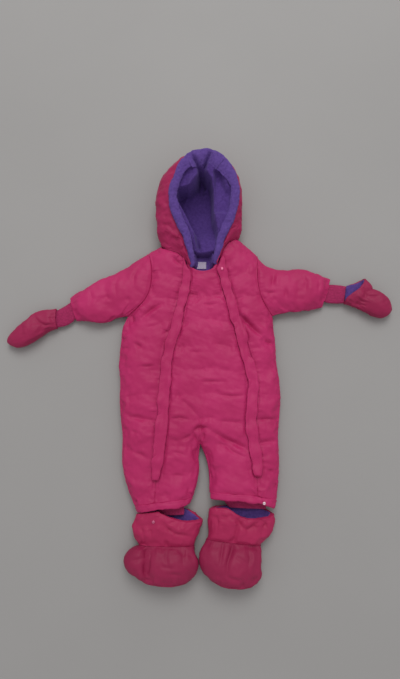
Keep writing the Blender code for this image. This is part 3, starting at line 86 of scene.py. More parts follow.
class NodeGraph:
    """Short way to add and join the nodes of one material."""

    def __init__(self, name: str) -> None:
        """Start a material with its Principled shader.

        Args:
            name: the material's name.
        """
        self.material = bpy.data.materials.new(name)
        self.material.use_nodes = True
        self.nodes = self.material.node_tree.nodes
        self.links = self.material.node_tree.links
        self.shader = self.nodes["Principled BSDF"]
        self.place = self.add("ShaderNodeTexCoord").outputs["Object"]

    def add(self, kind: str, inputs: dict | None = None, **settings: object) -> bpy.types.Node:
        """Add a node.

        Args:
            kind: the node's type name.
            inputs: values or sockets by input name or number.
            settings: the node's own properties.

        Returns:
            The node.
        """
        node = self.nodes.new(kind)
        for key, value in settings.items():
            setattr(node, key, value)
        for key, value in (inputs or {}).items():
            if isinstance(value, bpy.types.NodeSocket):
                self.links.new(value, node.inputs[key])
            else:
                node.inputs[key].default_value = value
        return node

    def noise(self, scale: float, detail: float = 2.0, stretch: tuple | None = None) -> bpy.types.NodeSocket:
        """Noise over object coordinates.

        Args:
            scale: cycles in a metre.
            detail: octaves.
            stretch: scale along each axis, or None.

        Returns:
            The noise's value socket.
        """
        place = self.place
        if stretch:
            place = self.add("ShaderNodeMapping", {"Vector": place, "Scale": stretch}).outputs[0]
        inputs = {"Vector": place, "Scale": scale, "Detail": detail}
        return self.add("ShaderNodeTexNoise", inputs).outputs["Fac"]

    def bands(self, pitch: float, axis: str) -> bpy.types.NodeSocket:
        """Even waves across one axis.

        Args:
            pitch: wave length in metres.
            axis: X, Y, Z or DIAGONAL.

        Returns:
            The wave's value socket.
        """
        scale = 2 * math.pi / (20 * pitch)
        inputs = {"Vector": self.place, "Scale": scale, "Distortion": 0.0}
        return self.add("ShaderNodeTexWave", inputs, bands_direction=axis).outputs["Fac"]

    def product(self, first: bpy.types.NodeSocket, second: bpy.types.NodeSocket) -> bpy.types.NodeSocket:
        """Product of two values."""
        return self.add("ShaderNodeMath", {0: first, 1: second}, operation="MULTIPLY").outputs[0]

    def bump(self, height: bpy.types.NodeSocket, depth: float, strength: float,
             under: bpy.types.NodeSocket | None = None) -> bpy.types.NodeSocket:
        """Bump over an earlier one.

        Args:
            height: the height value.
            depth: its full height in metres.
            strength: how strongly it bends the light.
            under: the normal it adds to, or None.

        Returns:
            The normal socket.
        """
        inputs = {"Height": height, "Distance": depth, "Strength": strength}
        if under is not None:
            inputs["Normal"] = under
        return self.add("ShaderNodeBump", inputs).outputs["Normal"]

    def blend(self, amount: bpy.types.NodeSocket, first: tuple, second: tuple,
              low: float = 0.3, high: float = 0.7) -> bpy.types.NodeSocket:
        """Colour between two, by a value.

        Args:
            amount: the value.
            first: colour at and under low.
            second: colour at and over high.
            low: value of the first colour.
            high: value of the second colour.

        Returns:
            The colour socket.
        """
        ramp = self.add("ShaderNodeValToRGB", {"Fac": amount})
        for element, place, colour in zip(ramp.color_ramp.elements, (low, high), (first, second)):
            element.position = place
            element.color = (*colour, 1.0)
        return ramp.outputs["Color"]

    def finish(self, colour: bpy.types.NodeSocket, normal: bpy.types.NodeSocket | None,
               constants: dict) -> bpy.types.Material:
        """Wire the shader and set its constants.

        Args:
            colour: the base colour.
            normal: the bent normal, or None.
            constants: values by the shader's input names.

        Returns:
            The material.
        """
        self.links.new(colour, self.shader.inputs["Base Color"])
        if normal is not None:
            self.links.new(normal, self.shader.inputs["Normal"])
        for name, value in constants.items():
            self.shader.inputs[name].default_value = value
        return self.material


@dataclass(frozen=True)
class Finish:
    """A material's name, the record's slot for it, and its lighter and deeper colour."""

    name: str
    slot: str
    lit: tuple
    deep: tuple

    def make(self) -> bpy.types.Material:
        """Build the material."""
        raise NotImplementedError

    def start(self, scale: float, detail: float) -> tuple:
        """Start the material with its two colours mixed by noise.

        Args:
            scale: cycles in a metre.
            detail: octaves.

        Returns:
            The graph and the colour socket.
        """
        graph = NodeGraph(self.name)
        return graph, graph.blend(graph.noise(scale, detail), self.deep, self.lit)


def cloth_look(roughness: float, gloss: float, sheen: float, spread: float,
               tint: tuple | None = None) -> dict:
    """Shader settings of cloth.

    Args:
        roughness: roughness of the threads.
        gloss: specular level.
        sheen: weight of the sheen.
        spread: roughness of the sheen.
        tint: colour of the sheen, or None for white.

    Returns:
        Values by the shader's input names.
    """
    look = {"Roughness": roughness, "Specular IOR Level": gloss,
            "Sheen Weight": sheen, "Sheen Roughness": spread}
    return {**look, "Sheen Tint": (*tint, 1.0)} if tint else look


@dataclass(frozen=True)
class WovenShell(Finish):
    """Calendered polyester: fine plain weave, small crumples and a faint sheen."""

    roughness: float = 0.52
    gloss: float = 0.22
    sheen: float = 0.06
    thread: float = 0.0006
    crumple: float = 0.0006

    def make(self) -> bpy.types.Material:
        """Build the material."""
        graph, colour = self.start(14.0, 4.0)
        weave = graph.product(graph.bands(self.thread, "X"), graph.bands(self.thread, "Y"))
        normal = graph.bump(weave, 0.00008, 0.3)
        normal = graph.bump(graph.noise(110.0, 3.0), self.crumple, 0.45, normal)
        normal = graph.bump(graph.noise(42.0, 2.0, (0.6, 1.0, 1.0)), 0.0018, 0.22, normal)
        look = cloth_look(self.roughness, self.gloss, self.sheen, 0.4, (1.0, 0.55, 0.75))
        return graph.finish(colour, normal, look)


@dataclass(frozen=True)
class Fleece(Finish):
    """Brushed fleece: a dense short nap over a soft, uneven ground, with painted shade that darkens it low
    down when asked for.
    """

    # Share of painted shade at the lowest parts, 0 for none
    hidden: float = 0.0
    nap: float = 0.0008
    sheen: float = 0.12
    low: float = 0.012
    high: float = 0.040
    shade: float = 0.4

    def make(self) -> bpy.types.Material:
        """Build the material."""
        graph, colour = self.start(240.0, 4.0)
        if self.hidden:
            # Painted shade: the colour darkens towards the low parts, by height in object coordinates
            height = graph.add("ShaderNodeSeparateXYZ", {0: graph.place}).outputs["Z"]
            limits = {"From Min": self.low, "From Max": self.high, "To Min": self.hidden, "To Max": 0.0}
            depth = graph.add("ShaderNodeMapRange", {"Value": height, **limits}).outputs["Result"]
            dark = (*(self.shade * value for value in self.deep), 1.0)
            mix = {"Fac": depth, "Color1": colour, "Color2": dark}
            colour = graph.add("ShaderNodeMixRGB", mix).outputs["Color"]
        normal = graph.bump(graph.noise(900.0, 3.0), self.nap, 0.45)
        normal = graph.bump(graph.noise(160.0, 3.0), 0.0016, 0.45, normal)
        return graph.finish(colour, normal, cloth_look(0.95, 0.15, self.sheen, 0.6, (0.62, 0.5, 1.0)))


@dataclass(frozen=True)
class RibKnit(Finish):
    """Knitted rib: small stitches along the raised ridges."""

    stitch: float = 0.0014

    def make(self) -> bpy.types.Material:
        """Build the material."""
        graph, colour = self.start(320.0, 2.0)
        loops = graph.product(graph.bands(self.stitch, "X"), graph.bands(self.stitch, "Y"))
        normal = graph.bump(loops, 0.0003, 0.5)
        normal = graph.bump(graph.noise(420.0, 2.0), 0.0004, 0.4, normal)
        return graph.finish(colour, normal, cloth_look(0.88, 0.2, 0.1, 0.5, (1.0, 0.6, 0.8)))


@dataclass(frozen=True)
class Metal(Finish):
    """Pressed, lightly brushed metal."""

    def make(self) -> bpy.types.Material:
        """Build the material."""
        graph, colour = self.start(600.0, 2.0)
        normal = graph.bump(graph.noise(2400.0, 2.0, (1.0, 0.1, 1.0)), 0.00005, 0.3)
        return graph.finish(colour, normal, {"Roughness": 0.32, "Metallic": 0.85})


@dataclass(frozen=True)
class SatinTape(Finish):
    """Smooth woven tape with fine cross threads."""

    thread: float = 0.0004

    def make(self) -> bpy.types.Material:
        """Build the material."""
        graph, colour = self.start(500.0, 2.0)
        normal = graph.bump(graph.bands(self.thread, "Y"), 0.0001, 0.4)
        return graph.finish(colour, normal, cloth_look(0.55, 0.35, 0.08, 0.4))


SHELL = WovenShell("pink shell", "shell", (0.470, 0.021, 0.124), (0.398, 0.015, 0.096))
# Painted shade: a darker copy of the pink shell for the hood's sides, which face away from the light
HOOD_PAINTED_SHADE_SHELL = WovenShell("shaded pink shell", "shell", (0.380, 0.016, 0.094), (0.314, 0.011, 0.071))
BOOTEE_SHELL = WovenShell("darker pink shell", "bootee_shell", (0.338, 0.015, 0.078), (0.280, 0.011, 0.062))
# Painted shade: a darker copy of the bootee shell for the feet and soles, for how the light falls on them
FOOT_PAINTED_SHADE_SHELL = WovenShell("shaded bootee shell", "bootee_shell", (0.296, 0.013, 0.066), (0.245, 0.0095, 0.053))
# Painted light: a lighter copy of the bootee shell for the shafts, which face the light
SHAFT_PAINTED_LIGHT_SHELL = WovenShell("painted light pink shell", "bootee_shell", (0.410, 0.018, 0.090), (0.345, 0.013, 0.072))
RIB = RibKnit("pink rib", "rib", (0.37, 0.024, 0.104), (0.27, 0.016, 0.074))
RIM_FLEECE = Fleece("lavender fleece rim", "fleece", (0.118, 0.062, 0.272), (0.084, 0.042, 0.208))
# Painted shade: a darker copy of the rim fleece for the hood's lining, which lies in shade, darkened more low
# down in its hollow
PAINTED_SHADE_LINING_FLEECE = Fleece("painted shade purple fleece lining", "fleece", (0.090, 0.043, 0.222), (0.062, 0.027, 0.160), 0.2)
TAPE = SatinTape("pink zip tape", "tape", (0.36, 0.016, 0.09), (0.28, 0.011, 0.065))
LABEL_TAPE = SatinTape("white satin", "label", (0.50, 0.44, 0.56), (0.40, 0.34, 0.48))
THREAD = SatinTape("pink thread", "shell", (0.50, 0.030, 0.14), (0.44, 0.022, 0.115))
PINK_SNAP = Metal("pink snap metal", "snap", (0.62, 0.16, 0.28), (0.50, 0.12, 0.22))
BARE_SNAP = Metal("bare snap metal", "snap", (0.90, 0.70, 0.76), (0.74, 0.54, 0.60))


# ---------------------------------------------------------------- fields over the cloth

class Ripple:
    """Seeded smooth noise over points in millimetres, with unit spread."""

    def __init__(self, wavelength: float, seed: int, count: int = 14) -> None:
        """Draw the waves.

        Args:
            wavelength: mean wave length in millimetres.
            seed: number that fixes the draw.
            count: how many waves are added.
        """
        draw = np.random.default_rng(seed)
        way = draw.normal(size=(count, 3))
        way /= np.linalg.norm(way, axis=1)[:, None]
        self.waves = way * (2 * math.pi / (wavelength * draw.uniform(0.7, 1.4, size=(count, 1))))
        self.phases = draw.uniform(0, 2 * math.pi, count)
        self.size = math.sqrt(2 / count)

    def at(self, points: np.ndarray) -> np.ndarray:
        """Noise at the points.

        Args:
            points: rows of x, y, z in millimetres.

        Returns:
            One value a point.
        """
        total = np.zeros(len(points))
        for wave, phase in zip(self.waves, self.phases):
            total += np.cos(points @ wave + phase)
        return total * self.size


def lengths_along(line: np.ndarray) -> np.ndarray:
    """Length of a line up to each of its corners."""
    return np.concatenate([[0.0], np.cumsum(np.linalg.norm(np.diff(line, axis=0), axis=1))])


def along_line(plan: np.ndarray, line: np.ndarray) -> tuple:
    """Where plan points lie beside an open line.

    Args:
        plan: rows of x, y.
        line: the line's corners, rows of x, y.

    Returns:
        Distance, signed side, share along the line, and the nearest point on it.
    """
    spans = np.linalg.norm(np.diff(line, axis=0), axis=1)
    starts = lengths_along(line)
    best = np.full(len(plan), np.inf)
    side, share, foot = np.zeros(len(plan)), np.zeros(len(plan)), np.zeros((len(plan), 2))
    for start, end, span, before in zip(line[:-1], line[1:], spans, starts):
        run = (end - start) / span
        along = np.clip((plan - start) @ run, 0, span)
        place = start + along[:, None] * run
        gap = plan - place
        far = np.linalg.norm(gap, axis=1)
        closer = far < best
        best = np.where(closer, far, best)
        side = np.where(closer, gap @ np.array([-run[1], run[0]]), side)
        share = np.where(closer, (before + along) / starts[-1], share)
        foot = np.where(closer[:, None], place, foot)
    return best, side, share, foot


# Section of a crease, in widths from its line: how far it reaches, and its ridge's place, spread and end
CREASE_REACH = 5
RIDGE_PLACE = 2.1
RIDGE_SPREAD = 1.4
RIDGE_END = 4.5
# Power of the trough's fall, and share and power with which a crease fades towards its ends
TROUGH_POWER = 1.4
FADE_FROM = 0.04
FADE_POWER = 0.7


@dataclass(frozen=True)
class Crease:
    """A sharp fold along a plan line: a trough with a low ridge beside it."""

    line: tuple
    depth: float = 2.0
    width: float = 3.0
    ridge: float = 0.35

    def lift(self, points: np.ndarray) -> np.ndarray:
        """Height that the crease adds.

        Args:
            points: rows of x, y, z in millimetres.

        Returns:
            One value a point, in millimetres.
        """
        line = np.array(self.line, float)
        reach = CREASE_REACH * self.width
        low, high = line.min(axis=0) - reach, line.max(axis=0) + reach
        near = np.flatnonzero(((points[:, :2] > low) & (points[:, :2] < high)).all(axis=1))
        total = np.zeros(len(points))
        if len(near):
            best, side, share, _ = along_line(points[near, :2], line)
            fade = np.sin(math.pi * np.clip(share, FADE_FROM, 1 - FADE_FROM)) ** FADE_POWER
            trough = -self.depth * np.exp(-(best / self.width) ** TROUGH_POWER)
            off = (side - RIDGE_PLACE * self.width) / (RIDGE_SPREAD * self.width)
            beside = self.ridge * self.depth * np.exp(-off ** 2)
            total[near] = fade * (trough + beside * (best < RIDGE_END * self.width))
        return total


def creases(*rows: tuple) -> tuple:
    """Creases from rows of line, depth and width."""
    return tuple(Crease(*row) for row in rows)


class Quilting(Enum):
    """Which way the stitched channels of a piece run."""

    ACROSS_BODY = 1
    ROUND_SLEEVE = 0
    NONE = -1


@dataclass(frozen=True)
class Stitching:
    """Stitched quilting lines at an even pitch, pulled in by uneven amounts."""

    axis: Quilting
    start: float
    pitch: float = 46.0
    depth: float = 0.8
    width: float = 2.4
    wander: float = 2.2
    pucker: float = 0.8
    fade: float = 8.0

    def nearest(self, points: np.ndarray) -> tuple:
        """Distance to the nearest line, and the point on it.

        Args:
            points: rows of x, y, z in millimetres.

        Returns:
            Distances, and points moved onto their line.
        """
        axis = self.axis.value
        place = np.abs(points[:, axis]) if axis == 0 else points[:, axis]
        drift = self.wander * Ripple(70, 11).at(points * (1 - np.eye(3)[axis]))
        line = self.start + drift + self.pitch * np.round((place - self.start - drift) / self.pitch)
        on_line = points.copy()
        on_line[:, axis] = line
        return np.abs(place - line), on_line

    def pull(self, on_line: np.ndarray) -> np.ndarray:
        """How firmly the line is pulled in at each place, from 0 to 1."""
        return np.clip(0.35 + 0.45 * Ripple(64, 13).at(on_line), 0.04, 1)

    def lift(self, points: np.ndarray) -> np.ndarray:
        """Depth of the line and the small puckers that run off it.

        Args:
            points: rows of x, y, z in millimetres.

        Returns:
            One value a point, in millimetres.
        """
        gap, on_line = self.nearest(points)
        line = -self.depth * np.exp(-(gap / self.width) ** 2)
        pucker = self.pucker * Ripple(12, 12).at(on_line) * np.exp(-gap / self.fade)
        return self.pull(on_line) * (line + pucker)


BODY_STITCHING = Stitching(Quilting.ACROSS_BODY, -132.0)
SLEEVE_STITCHING = Stitching(Quilting.ROUND_SLEEVE, 140.0)
PLAIN = Stitching(Quilting.NONE, 0.0)

FRONT_CREASES = creases(
    (((70, 68), (92, 47), (117, 22)), 6.8, 4.0),
    (((76, 55), (84, 37), (89, 22)), 2.7, 3.5),
    (((-76, 87), (-95, 75), (-112, 60)), 5.7, 3.8),
    (((-108, 91), (-125, 82), (-134, 66), (-130, 46)), 7.0, 4.6, 0.2),
    (((-138, 78), (-141, 60), (-138, 42)), 4.7, 4.0, 0.1),
    (((-128, 11), (-121, 8), (-111, 1)), 3.0, 3.0),
    (((-75, 25), (-59, 37), (-40, 42)), 2.7, 3.2),
    (((120, 15), (130, 13), (141, 9)), 5.4, 3.5),
    (((-15, -154), (-4, -147), (15, -147)), 4.9, 3.5),
    (((-15, -152), (-10, -165), (-4, -176)), 4.1, 3.0),
    (((4, -154), (4, -163), (2, -172)), 3.2, 3.0),
    (((-15, -158), (-26, -165), (-39, -169)), 3.2, 3.0),
    (((16, -151), (45, -168), (89, -187)), 5.1, 4.0),
    (((38, -174), (60, -190), (84, -201)), 3.2, 3.5),
    (((-39, -92), (-22, -108), (-2, -129)), 2.4, 4.0),
    (((0, -62), (22, -62), (44, -62)), 3.0, 3.0),
    (((32, -86), (56, -89), (80, -88)), 3.0, 3.0),
    (((29, -134), (56, -136), (83, -140)), 2.4, 3.5),
    (((-24, 104), (-14, 105), (-4, 103)), 2.4, 3.0),
    (((3, 86), (16, 84), (30, 86)), 2.2, 3.0),
    (((-18, -5), (-8, -7), (2, -6)), 2.2, 3.0),
    (((-40, 11), (-36, 7), (-32, 3)), 1.9, 3.0),
    (((97, -133), (120, -131), (142, -131)), 3.2, 3.5),
    (((100, -176), (121, -172), (141, -172)), 3.2, 3.5),
    (((118, -222), (127, -226), (136, -229)), 2.4, 3.0),
    (((-138, -125), (-110, -130), (-81, -134)), 2.7, 3.5),
    (((-130, -187), (-114, -194), (-98, -201)), 2.7, 3.5),
    (((-116, -33), (-102, -34), (-86, -32)), 2.6, 3.0),
    (((-96, -242), (-87, -243), (-78, -245)), 2.0, 3.0),
    (((-55, -231), (-43, -231), (-31, -233)), 2.2, 3.0),
    (((-53, -190), (-40, -192), (-27, -197)), 2.2, 3.0),
    (((-104, 41), (-91, 43), (-78, 47)), 1.9, 3.0),
    (((44, 181), (39, 172), (33, 163)), 2.4, 3.0),
    (((-54, 177), (-46, 168), (-37, 161)), 3.2, 3.2),
    (((90, -153), (96, -150)), 6.0, 3.6),
    (((-58, -130), (-39, -129), (-20, -132)), 3.2, 3.2),
    (((-129, -152), (-121, -155), (-125, -160)), 2.4, 3.0),
    (((-21, -253), (-23, -261), (-19, -269)), 2.6, 3.0),
)
SLEEVE_CREASES = creases(
    (((68, 201), (70, 193)), 2.2, 3.0),
    (((142, 149), (139, 135), (136, 121)), 3.9, 3.5),
    (((163, 117), (163, 108), (162, 100)), 2.7, 3.0),
    (((120, 109), (131, 108), (143, 109)), 2.7, 3.0),
    (((196, 148), (202, 130), (200, 112)), 2.4, 3.5),
    (((226, 142), (228, 126), (224, 108)), 2.2, 3.0),
    (((-185, 106), (-176, 96)), 3.0, 3.0),
    (((-122, 160), (-130, 142), (-128, 122)), 2.7, 3.5),
    (((-160, 140), (-166, 122), (-163, 104)), 2.2, 3.5),
    (((-214, 116), (-210, 98), (-214, 80)), 2.2, 3.5),
)
BOOTEE_CREASES = creases(
    (((64, -301), (68, -316), (62, -333), (55, -359), (47, -377), (44, -397), (40, -407)), 4.1, 3.4),
    (((69, -359), (78, -355), (96, -357), (101, -360)), 2.9, 3.0),
    (((55, -357), (65, -357), (74, -352)), 2.4, 3.0),
    (((64, -306), (73, -321), (83, -326), (108, -310)), 3.6, 3.4),
    (((39, -352), (36, -366), (33, -384)), 2.9, 3.2),
    (((58, -369), (70, -374), (82, -382)), 2.2, 3.0),
    (((44, -401), (56, -406), (69, -409)), 2.2, 3.0),
    (((-70, -312), (-59, -324), (-45, -333), (-18, -338)), 3.8, 3.4),
    (((-108, -352), (-99, -357), (-96, -368), (-96, -384), (-98, -396), (-95, -408)), 8.0, 4.6, 0.0),
    (((-125, -378), (-112, -375), (-100, -373)), 2.6, 3.0),
    (((-71, -386), (-58, -387), (-44, -390)), 2.3, 3.0),
    (((-58, -397), (-46, -398), (-33, -401)), 2.3, 3.0),
    (((-60, -357), (-62, -370), (-58, -386)), 2.4, 3.2),
    (((84, -361), (86, -374), (82, -388)), 2.2, 3.2),
    (((-28, -358), (-32, -372), (-30, -384)), 2.2, 3.2),
    (((-112, -318), (-104, -330), (-101, -346)), 2.2, 3.2),
    (((26, -300), (30, -314), (27, -334)), 1.9, 3.0),
    (((118, -312), (112, -324), (108, -340)), 1.9, 3.0),
)
MITTEN_CREASES = creases(
    (((-319, 63), (-309, 52), (-298, 46), (-282, 49)), 3.0, 2.4),
    (((-283, 71), (-288, 62), (-282, 52)), 1.6, 2.6),
    (((-344, 49), (-339, 40), (-342, 29)), 1.4, 3.0),
    (((297, 91), (307, 87), (319, 85)), 2.4, 2.2),
    (((301, 97), (310, 93), (320, 91)), 2.4, 2.0),
    (((315, 117), (316, 107), (317, 99)), 2.6, 2.6),
    (((320, 103), (331, 102), (342, 103)), 2.0, 2.2),
    (((350, 106), (354, 95), (350, 83)), 1.2, 3.0),
)
HOOD_CREASES = creases(
    (((-72, 288), (-60, 264), (-50, 247), (-38, 226)), 4.5, 8.0, 0.1),
    (((-78, 258), (-68, 262), (-58, 262)), 1.8, 3.5),
    (((-84, 290), (-74, 292), (-64, 290)), 1.6, 3.5),
    (((-74, 318), (-64, 314)), 1.4, 3.5),
    (((-70, 238), (-60, 232), (-52, 222)), 2.0, 3.5),
    (((-62, 214), (-52, 210), (-44, 202)), 1.6, 3.0),
    (((78, 236), (70, 240), (62, 238)), 1.8, 3.0),
    (((60, 222), (52, 214), (46, 202)), 1.8, 3.0),
)
RIM_CREASES = creases(
    (((-45, 328), (-40, 322), (-34, 318)), 1.2, 4.0),
    (((-52, 262), (-44, 258), (-38, 252)), 1.2, 4.0),
    (((66, 262), (56, 262), (50, 258)), 1.0, 4.0),
)
CROWN_PLEATS = creases(
    (((-18, 367), (-11, 356), (-5, 345), (1, 318)), 16.0, 3.2, 0.12),
    (((20, 375), (13, 360), (7, 347), (2, 318)), 16.0, 3.2, 0.12),
    (((0, 354), (0, 340), (1, 314)), 8.0, 5.5, 0.0),
)
LINING_CREASES = creases(
    (((-2, 337), (-17, 319), (-32, 293)), -9.0, 3.6, 0.0),
    (((-44, 299), (-41, 286), (-33, 270), (-23, 250), (-15, 234), (-9, 218)), 3.0, 3.5, 0.2),
    (((-12, 224), (-8, 208), (-1, 188)), 5.0, 2.6),
    (((40, 339), (41, 323), (39, 304)), 1.6, 3.5),
    (((20, 262), (25, 240), (28, 216)), 2.2, 3.0),
    (((-21, 338), (-29, 320), (-38, 308)), 2.0, 3.5),
)
PLACKET_MIDDLES = (
    ((-28, 172), (-30, 135), (-34, 105), (-40, 75), (-49, 45), (-56, 15), (-63, -15), (-67, -45),
     (-70, -105), (-75, -165), (-80, -225), (-81, -234)),
    ((39, 172), (45, 135), (53, 105), (60, 75), (71, 45), (77, 15), (87, -15), (94, -45), (97, -75),
     (94, -105), (92, -135), (94, -165), (100, -205), (101, -226)),
)
HEM_LINES = (
    ((19, -271), (77, -276), (109, -281), (130, -287)),
    ((-113, -294), (-65, -289), (-20, -280)),
)
# Topstitching runs on both sides of each placket's middle, and along the hems
BESIDE = 5.5
STITCH_LINES = (
    *(tuple((x + side, y) for x, y in line) for line in PLACKET_MIDDLES for side in (-BESIDE, BESIDE)),
    *HEM_LINES,
)


# ---------------------------------------------------------------- mesh helpers

def points_of(mesh: bpy.types.Mesh) -> np.ndarray:
    """Vertex places in millimetres."""
    flat = np.empty(len(mesh.vertices) * 3)
    mesh.vertices.foreach_get("co", flat)
    return flat.reshape(-1, 3) / MM


def tree_of(mesh: bpy.types.Mesh) -> BVHTree:
    """Search tree over a mesh's faces.

    Args:
        mesh: the mesh, in metres.

    Returns:
        The tree.
    """
    corners = [vertex.co for vertex in mesh.vertices]
    return BVHTree.FromPolygons(corners, [tuple(face.vertices) for face in mesh.polygons])


def normals_of(mesh: bpy.types.Mesh) -> np.ndarray:
    """Vertex normals."""
    flat = np.empty(len(mesh.vertices) * 3)
    mesh.vertex_normals.foreach_get("vector", flat)
    return flat.reshape(-1, 3)


def set_points(mesh: bpy.types.Mesh, points: np.ndarray) -> None:
    """Write vertex places given in millimetres, none of them under the floor."""
    points = points.copy()
    points[:, 2] = np.maximum(points[:, 2], 0.0)
    mesh.vertices.foreach_set("co", (points * MM).ravel())
    mesh.update()


def select_only(piece: bpy.types.Object) -> None:
    """Make one object the only selected and active one."""
    bpy.ops.object.select_all(action="DESELECT")
    piece.select_set(True)
    bpy.context.view_layer.objects.active = piece


def apply_modifier(piece: bpy.types.Object, kind: str, **settings: object) -> None:
    """Add a modifier and apply it.

    Args:
        piece: the object.
        kind: the modifier's type.
        settings: its properties.
    """
    select_only(piece)
    modifier = piece.modifiers.new(kind.lower(), kind)
    for key, value in settings.items():
        setattr(modifier, key, value)
    bpy.ops.object.modifier_apply(modifier=modifier.name)


def new_piece(name: str, mesh: bpy.types.Mesh) -> bpy.types.Object:
    """Link a mesh into the scene as a new object."""
    piece = bpy.data.objects.new(name, mesh)
    bpy.context.scene.collection.objects.link(piece)
    return piece


def copy_of(node: str, longest: float) -> bpy.types.Object:
    """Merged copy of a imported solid, with its long edges split.

    Args:
        node: the solid's name.
        longest: longest edge in millimetres.

    Returns:
        The new object.
    """
    piece = new_piece(node + "_cloth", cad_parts[node].data.copy())
    work = bmesh.new()
    work.from_mesh(piece.data)
    bmesh.ops.remove_doubles(work, verts=work.verts, dist=MERGE_WITHIN)
    bmesh.ops.recalc_face_normals(work, faces=work.faces)
    bmesh.ops.join_triangles(work, faces=work.faces, angle_face_threshold=FLAT_PAIR,
                             angle_shape_threshold=SQUARE_PAIR)
    for _ in range(SPLIT_ROUNDS):
        long = [edge for edge in work.edges if edge.calc_length() > longest * MM]
        if long:
            bmesh.ops.subdivide_edges(work, edges=long, cuts=1, use_grid_fill=True)
    work.to_mesh(piece.data)
    work.free()
    piece.data.materials.clear()
    return piece


def subdivide(piece: bpy.types.Object, levels: int, corner: float, seam: np.ndarray | None = None) -> None:
    """Subdivide a piece smoothly, with its corners held.

    Args:
        piece: the object.
        levels: how often.
        corner: crease weight of its corners, from 0 for round to 1 for sharp.
        seam: nearness of each vertex to a seam, where corners stay crisp, or None.
    """
    work = bmesh.new()
    work.from_mesh(piece.data)
    layer = work.edges.layers.float.get("crease_edge") or work.edges.layers.float.new("crease_edge")
    for edge in work.edges:
        weight = 0.0
        near = 0.0 if seam is None else min(seam[vertex.index] for vertex in edge.verts)
        if edge.is_manifold and edge.calc_face_angle() > SHARP * (1 - SHARP_LESS * near):
            weight = corner + (CRISP - corner) * min(1.0, CRISP_RISE * near)
        edge[layer] = weight
    work.to_mesh(piece.data)
    work.free()
    apply_modifier(piece, "SUBSURF", levels=levels, render_levels=levels)


def corners_of(mesh: bpy.types.Mesh) -> np.ndarray:
    """1 for each vertex on a sharp edge and 0 elsewhere."""
    work = bmesh.new()
    work.from_mesh(mesh)
    flags = np.zeros(len(mesh.vertices))
    for edge in work.edges:
        if edge.is_manifold and edge.calc_face_angle() > SHARP:
            flags[edge.verts[0].index] = flags[edge.verts[1].index] = 1
    work.free()
    return flags


def smoothed(mesh: bpy.types.Mesh, points: np.ndarray, rounds: int, held: np.ndarray) -> np.ndarray:
    """Points drawn towards the mean of their neighbours.

    Args:
        mesh: the mesh that gives the edges.
        points: vertex places.
        rounds: how often.
        held: share of each point that stays.

    Returns:
        The new places.
    """
    edges = np.empty(len(mesh.edges) * 2, int)
    mesh.edges.foreach_get("vertices", edges)
    first, second = edges.reshape(-1, 2).T
    count = np.bincount(first, minlength=len(points)) + np.bincount(second, minlength=len(points))
    for _ in range(rounds):
        total = np.zeros_like(points)
        for axis in range(3):
            total[:, axis] = (np.bincount(first, points[second, axis], len(points))
                              + np.bincount(second, points[first, axis], len(points)))
        points = points + 0.5 * (1 - held)[:, None] * (total / np.maximum(count, 1)[:, None] - points)
    return points


def store(piece: bpy.types.Object, name: str, weights: np.ndarray) -> None:
    """Keep one weight a vertex, so that it carries over to the finer mesh."""
    group = piece.vertex_groups.new(name=name)
    for index, weight in enumerate(weights):
        group.add([index], float(weight), "REPLACE")


def stored(piece: bpy.types.Object, name: str) -> np.ndarray:
    """Read back the weights of a name."""
    number = piece.vertex_groups[name].index
    weights = (next((g.weight for g in v.groups if g.group == number), 0.0) for v in piece.data.vertices)
    return np.array(list(weights))


def closing(gap: np.ndarray) -> np.ndarray:
    """Move that takes half of a narrow gap between two sewn pieces, and a little more."""
    return (0.5 * gap + OVERLAP) * np.clip((OPEN_GAP - gap) / OPEN_FADE, 0, 1)


class Neighbours:
    """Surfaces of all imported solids, to keep pieces clear of each other."""

    def __init__(self) -> None:
        """Build a search tree for each solid."""
        self.trees = {}
        self.boxes = {}
        for name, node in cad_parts.items():
            self.trees[name] = tree_of(node.data)
            places = points_of(node.data)
            self.boxes[name] = (places.min(axis=0), places.max(axis=0))

    def gaps(self, points: np.ndarray, names: list, reach: float) -> np.ndarray:
        """Distance from each point to the nearest of the named solids.

        Args:
            points: places in millimetres.
            names: names of the solids that count.
            reach: distance past which the answer is the reach itself.

        Returns:
            Distances in millimetres, at most the reach.
        """
        best = np.full(len(points), reach)
        for name in names:
            low, high = self.boxes[name]
            near = np.flatnonzero(((points > low - reach) & (points < high + reach)).all(axis=1))
            for index in near:
                found = self.trees[name].find_nearest(Vector(points[index] * MM), best[index] * MM)
                if found[0] is not None:
                    best[index] = min(best[index], found[3] / MM)
        return best

    def others(self, node: str) -> list:
        """Names of all solids but one."""
        return [name for name in self.trees if name != node]


NEIGHBOURS = Neighbours()
BANDS = ["placket_left", "placket_right"]


def material_of(finish: Finish) -> bpy.types.Material:
    """The finish's material, made when it is first asked for."""
    return bpy.data.materials.get(finish.name) or finish.make()


def register(piece: bpy.types.Object, finish: Finish, *nodes: str) -> None:
    """Give a piece its material and body, and hide the solids it stands for.

    Args:
        piece: the object.
        finish: the finish that makes its material.
        nodes: names of the solids it replaces.
    """
    piece.data.materials.clear()
    piece.data.materials.append(material_of(finish))
    piece.data.shade_smooth()
    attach(piece, BODY)
    if nodes:
        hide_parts(*nodes)
    LOG.info("%s: %d faces", piece.name, len(piece.data.polygons))


# ---------------------------------------------------------------- padded cloth

LAST_FRAME = 20
# Stiff, light wadded cloth
CLOTH = {"quality": 4, "mass": 0.15, "tension_stiffness": 12, "compression_stiffness": 8,
         "shear_stiffness": 4, "bending_stiffness": 0.3, "air_damping": 2.0, "use_pressure": True,
         "vertex_group_mass": "sewn"}
# Crumples of the shell: wave length and share of the piece's crumple
CRUMPLES = ((52, 0.7), (20, 0.4), (9, 0.14))


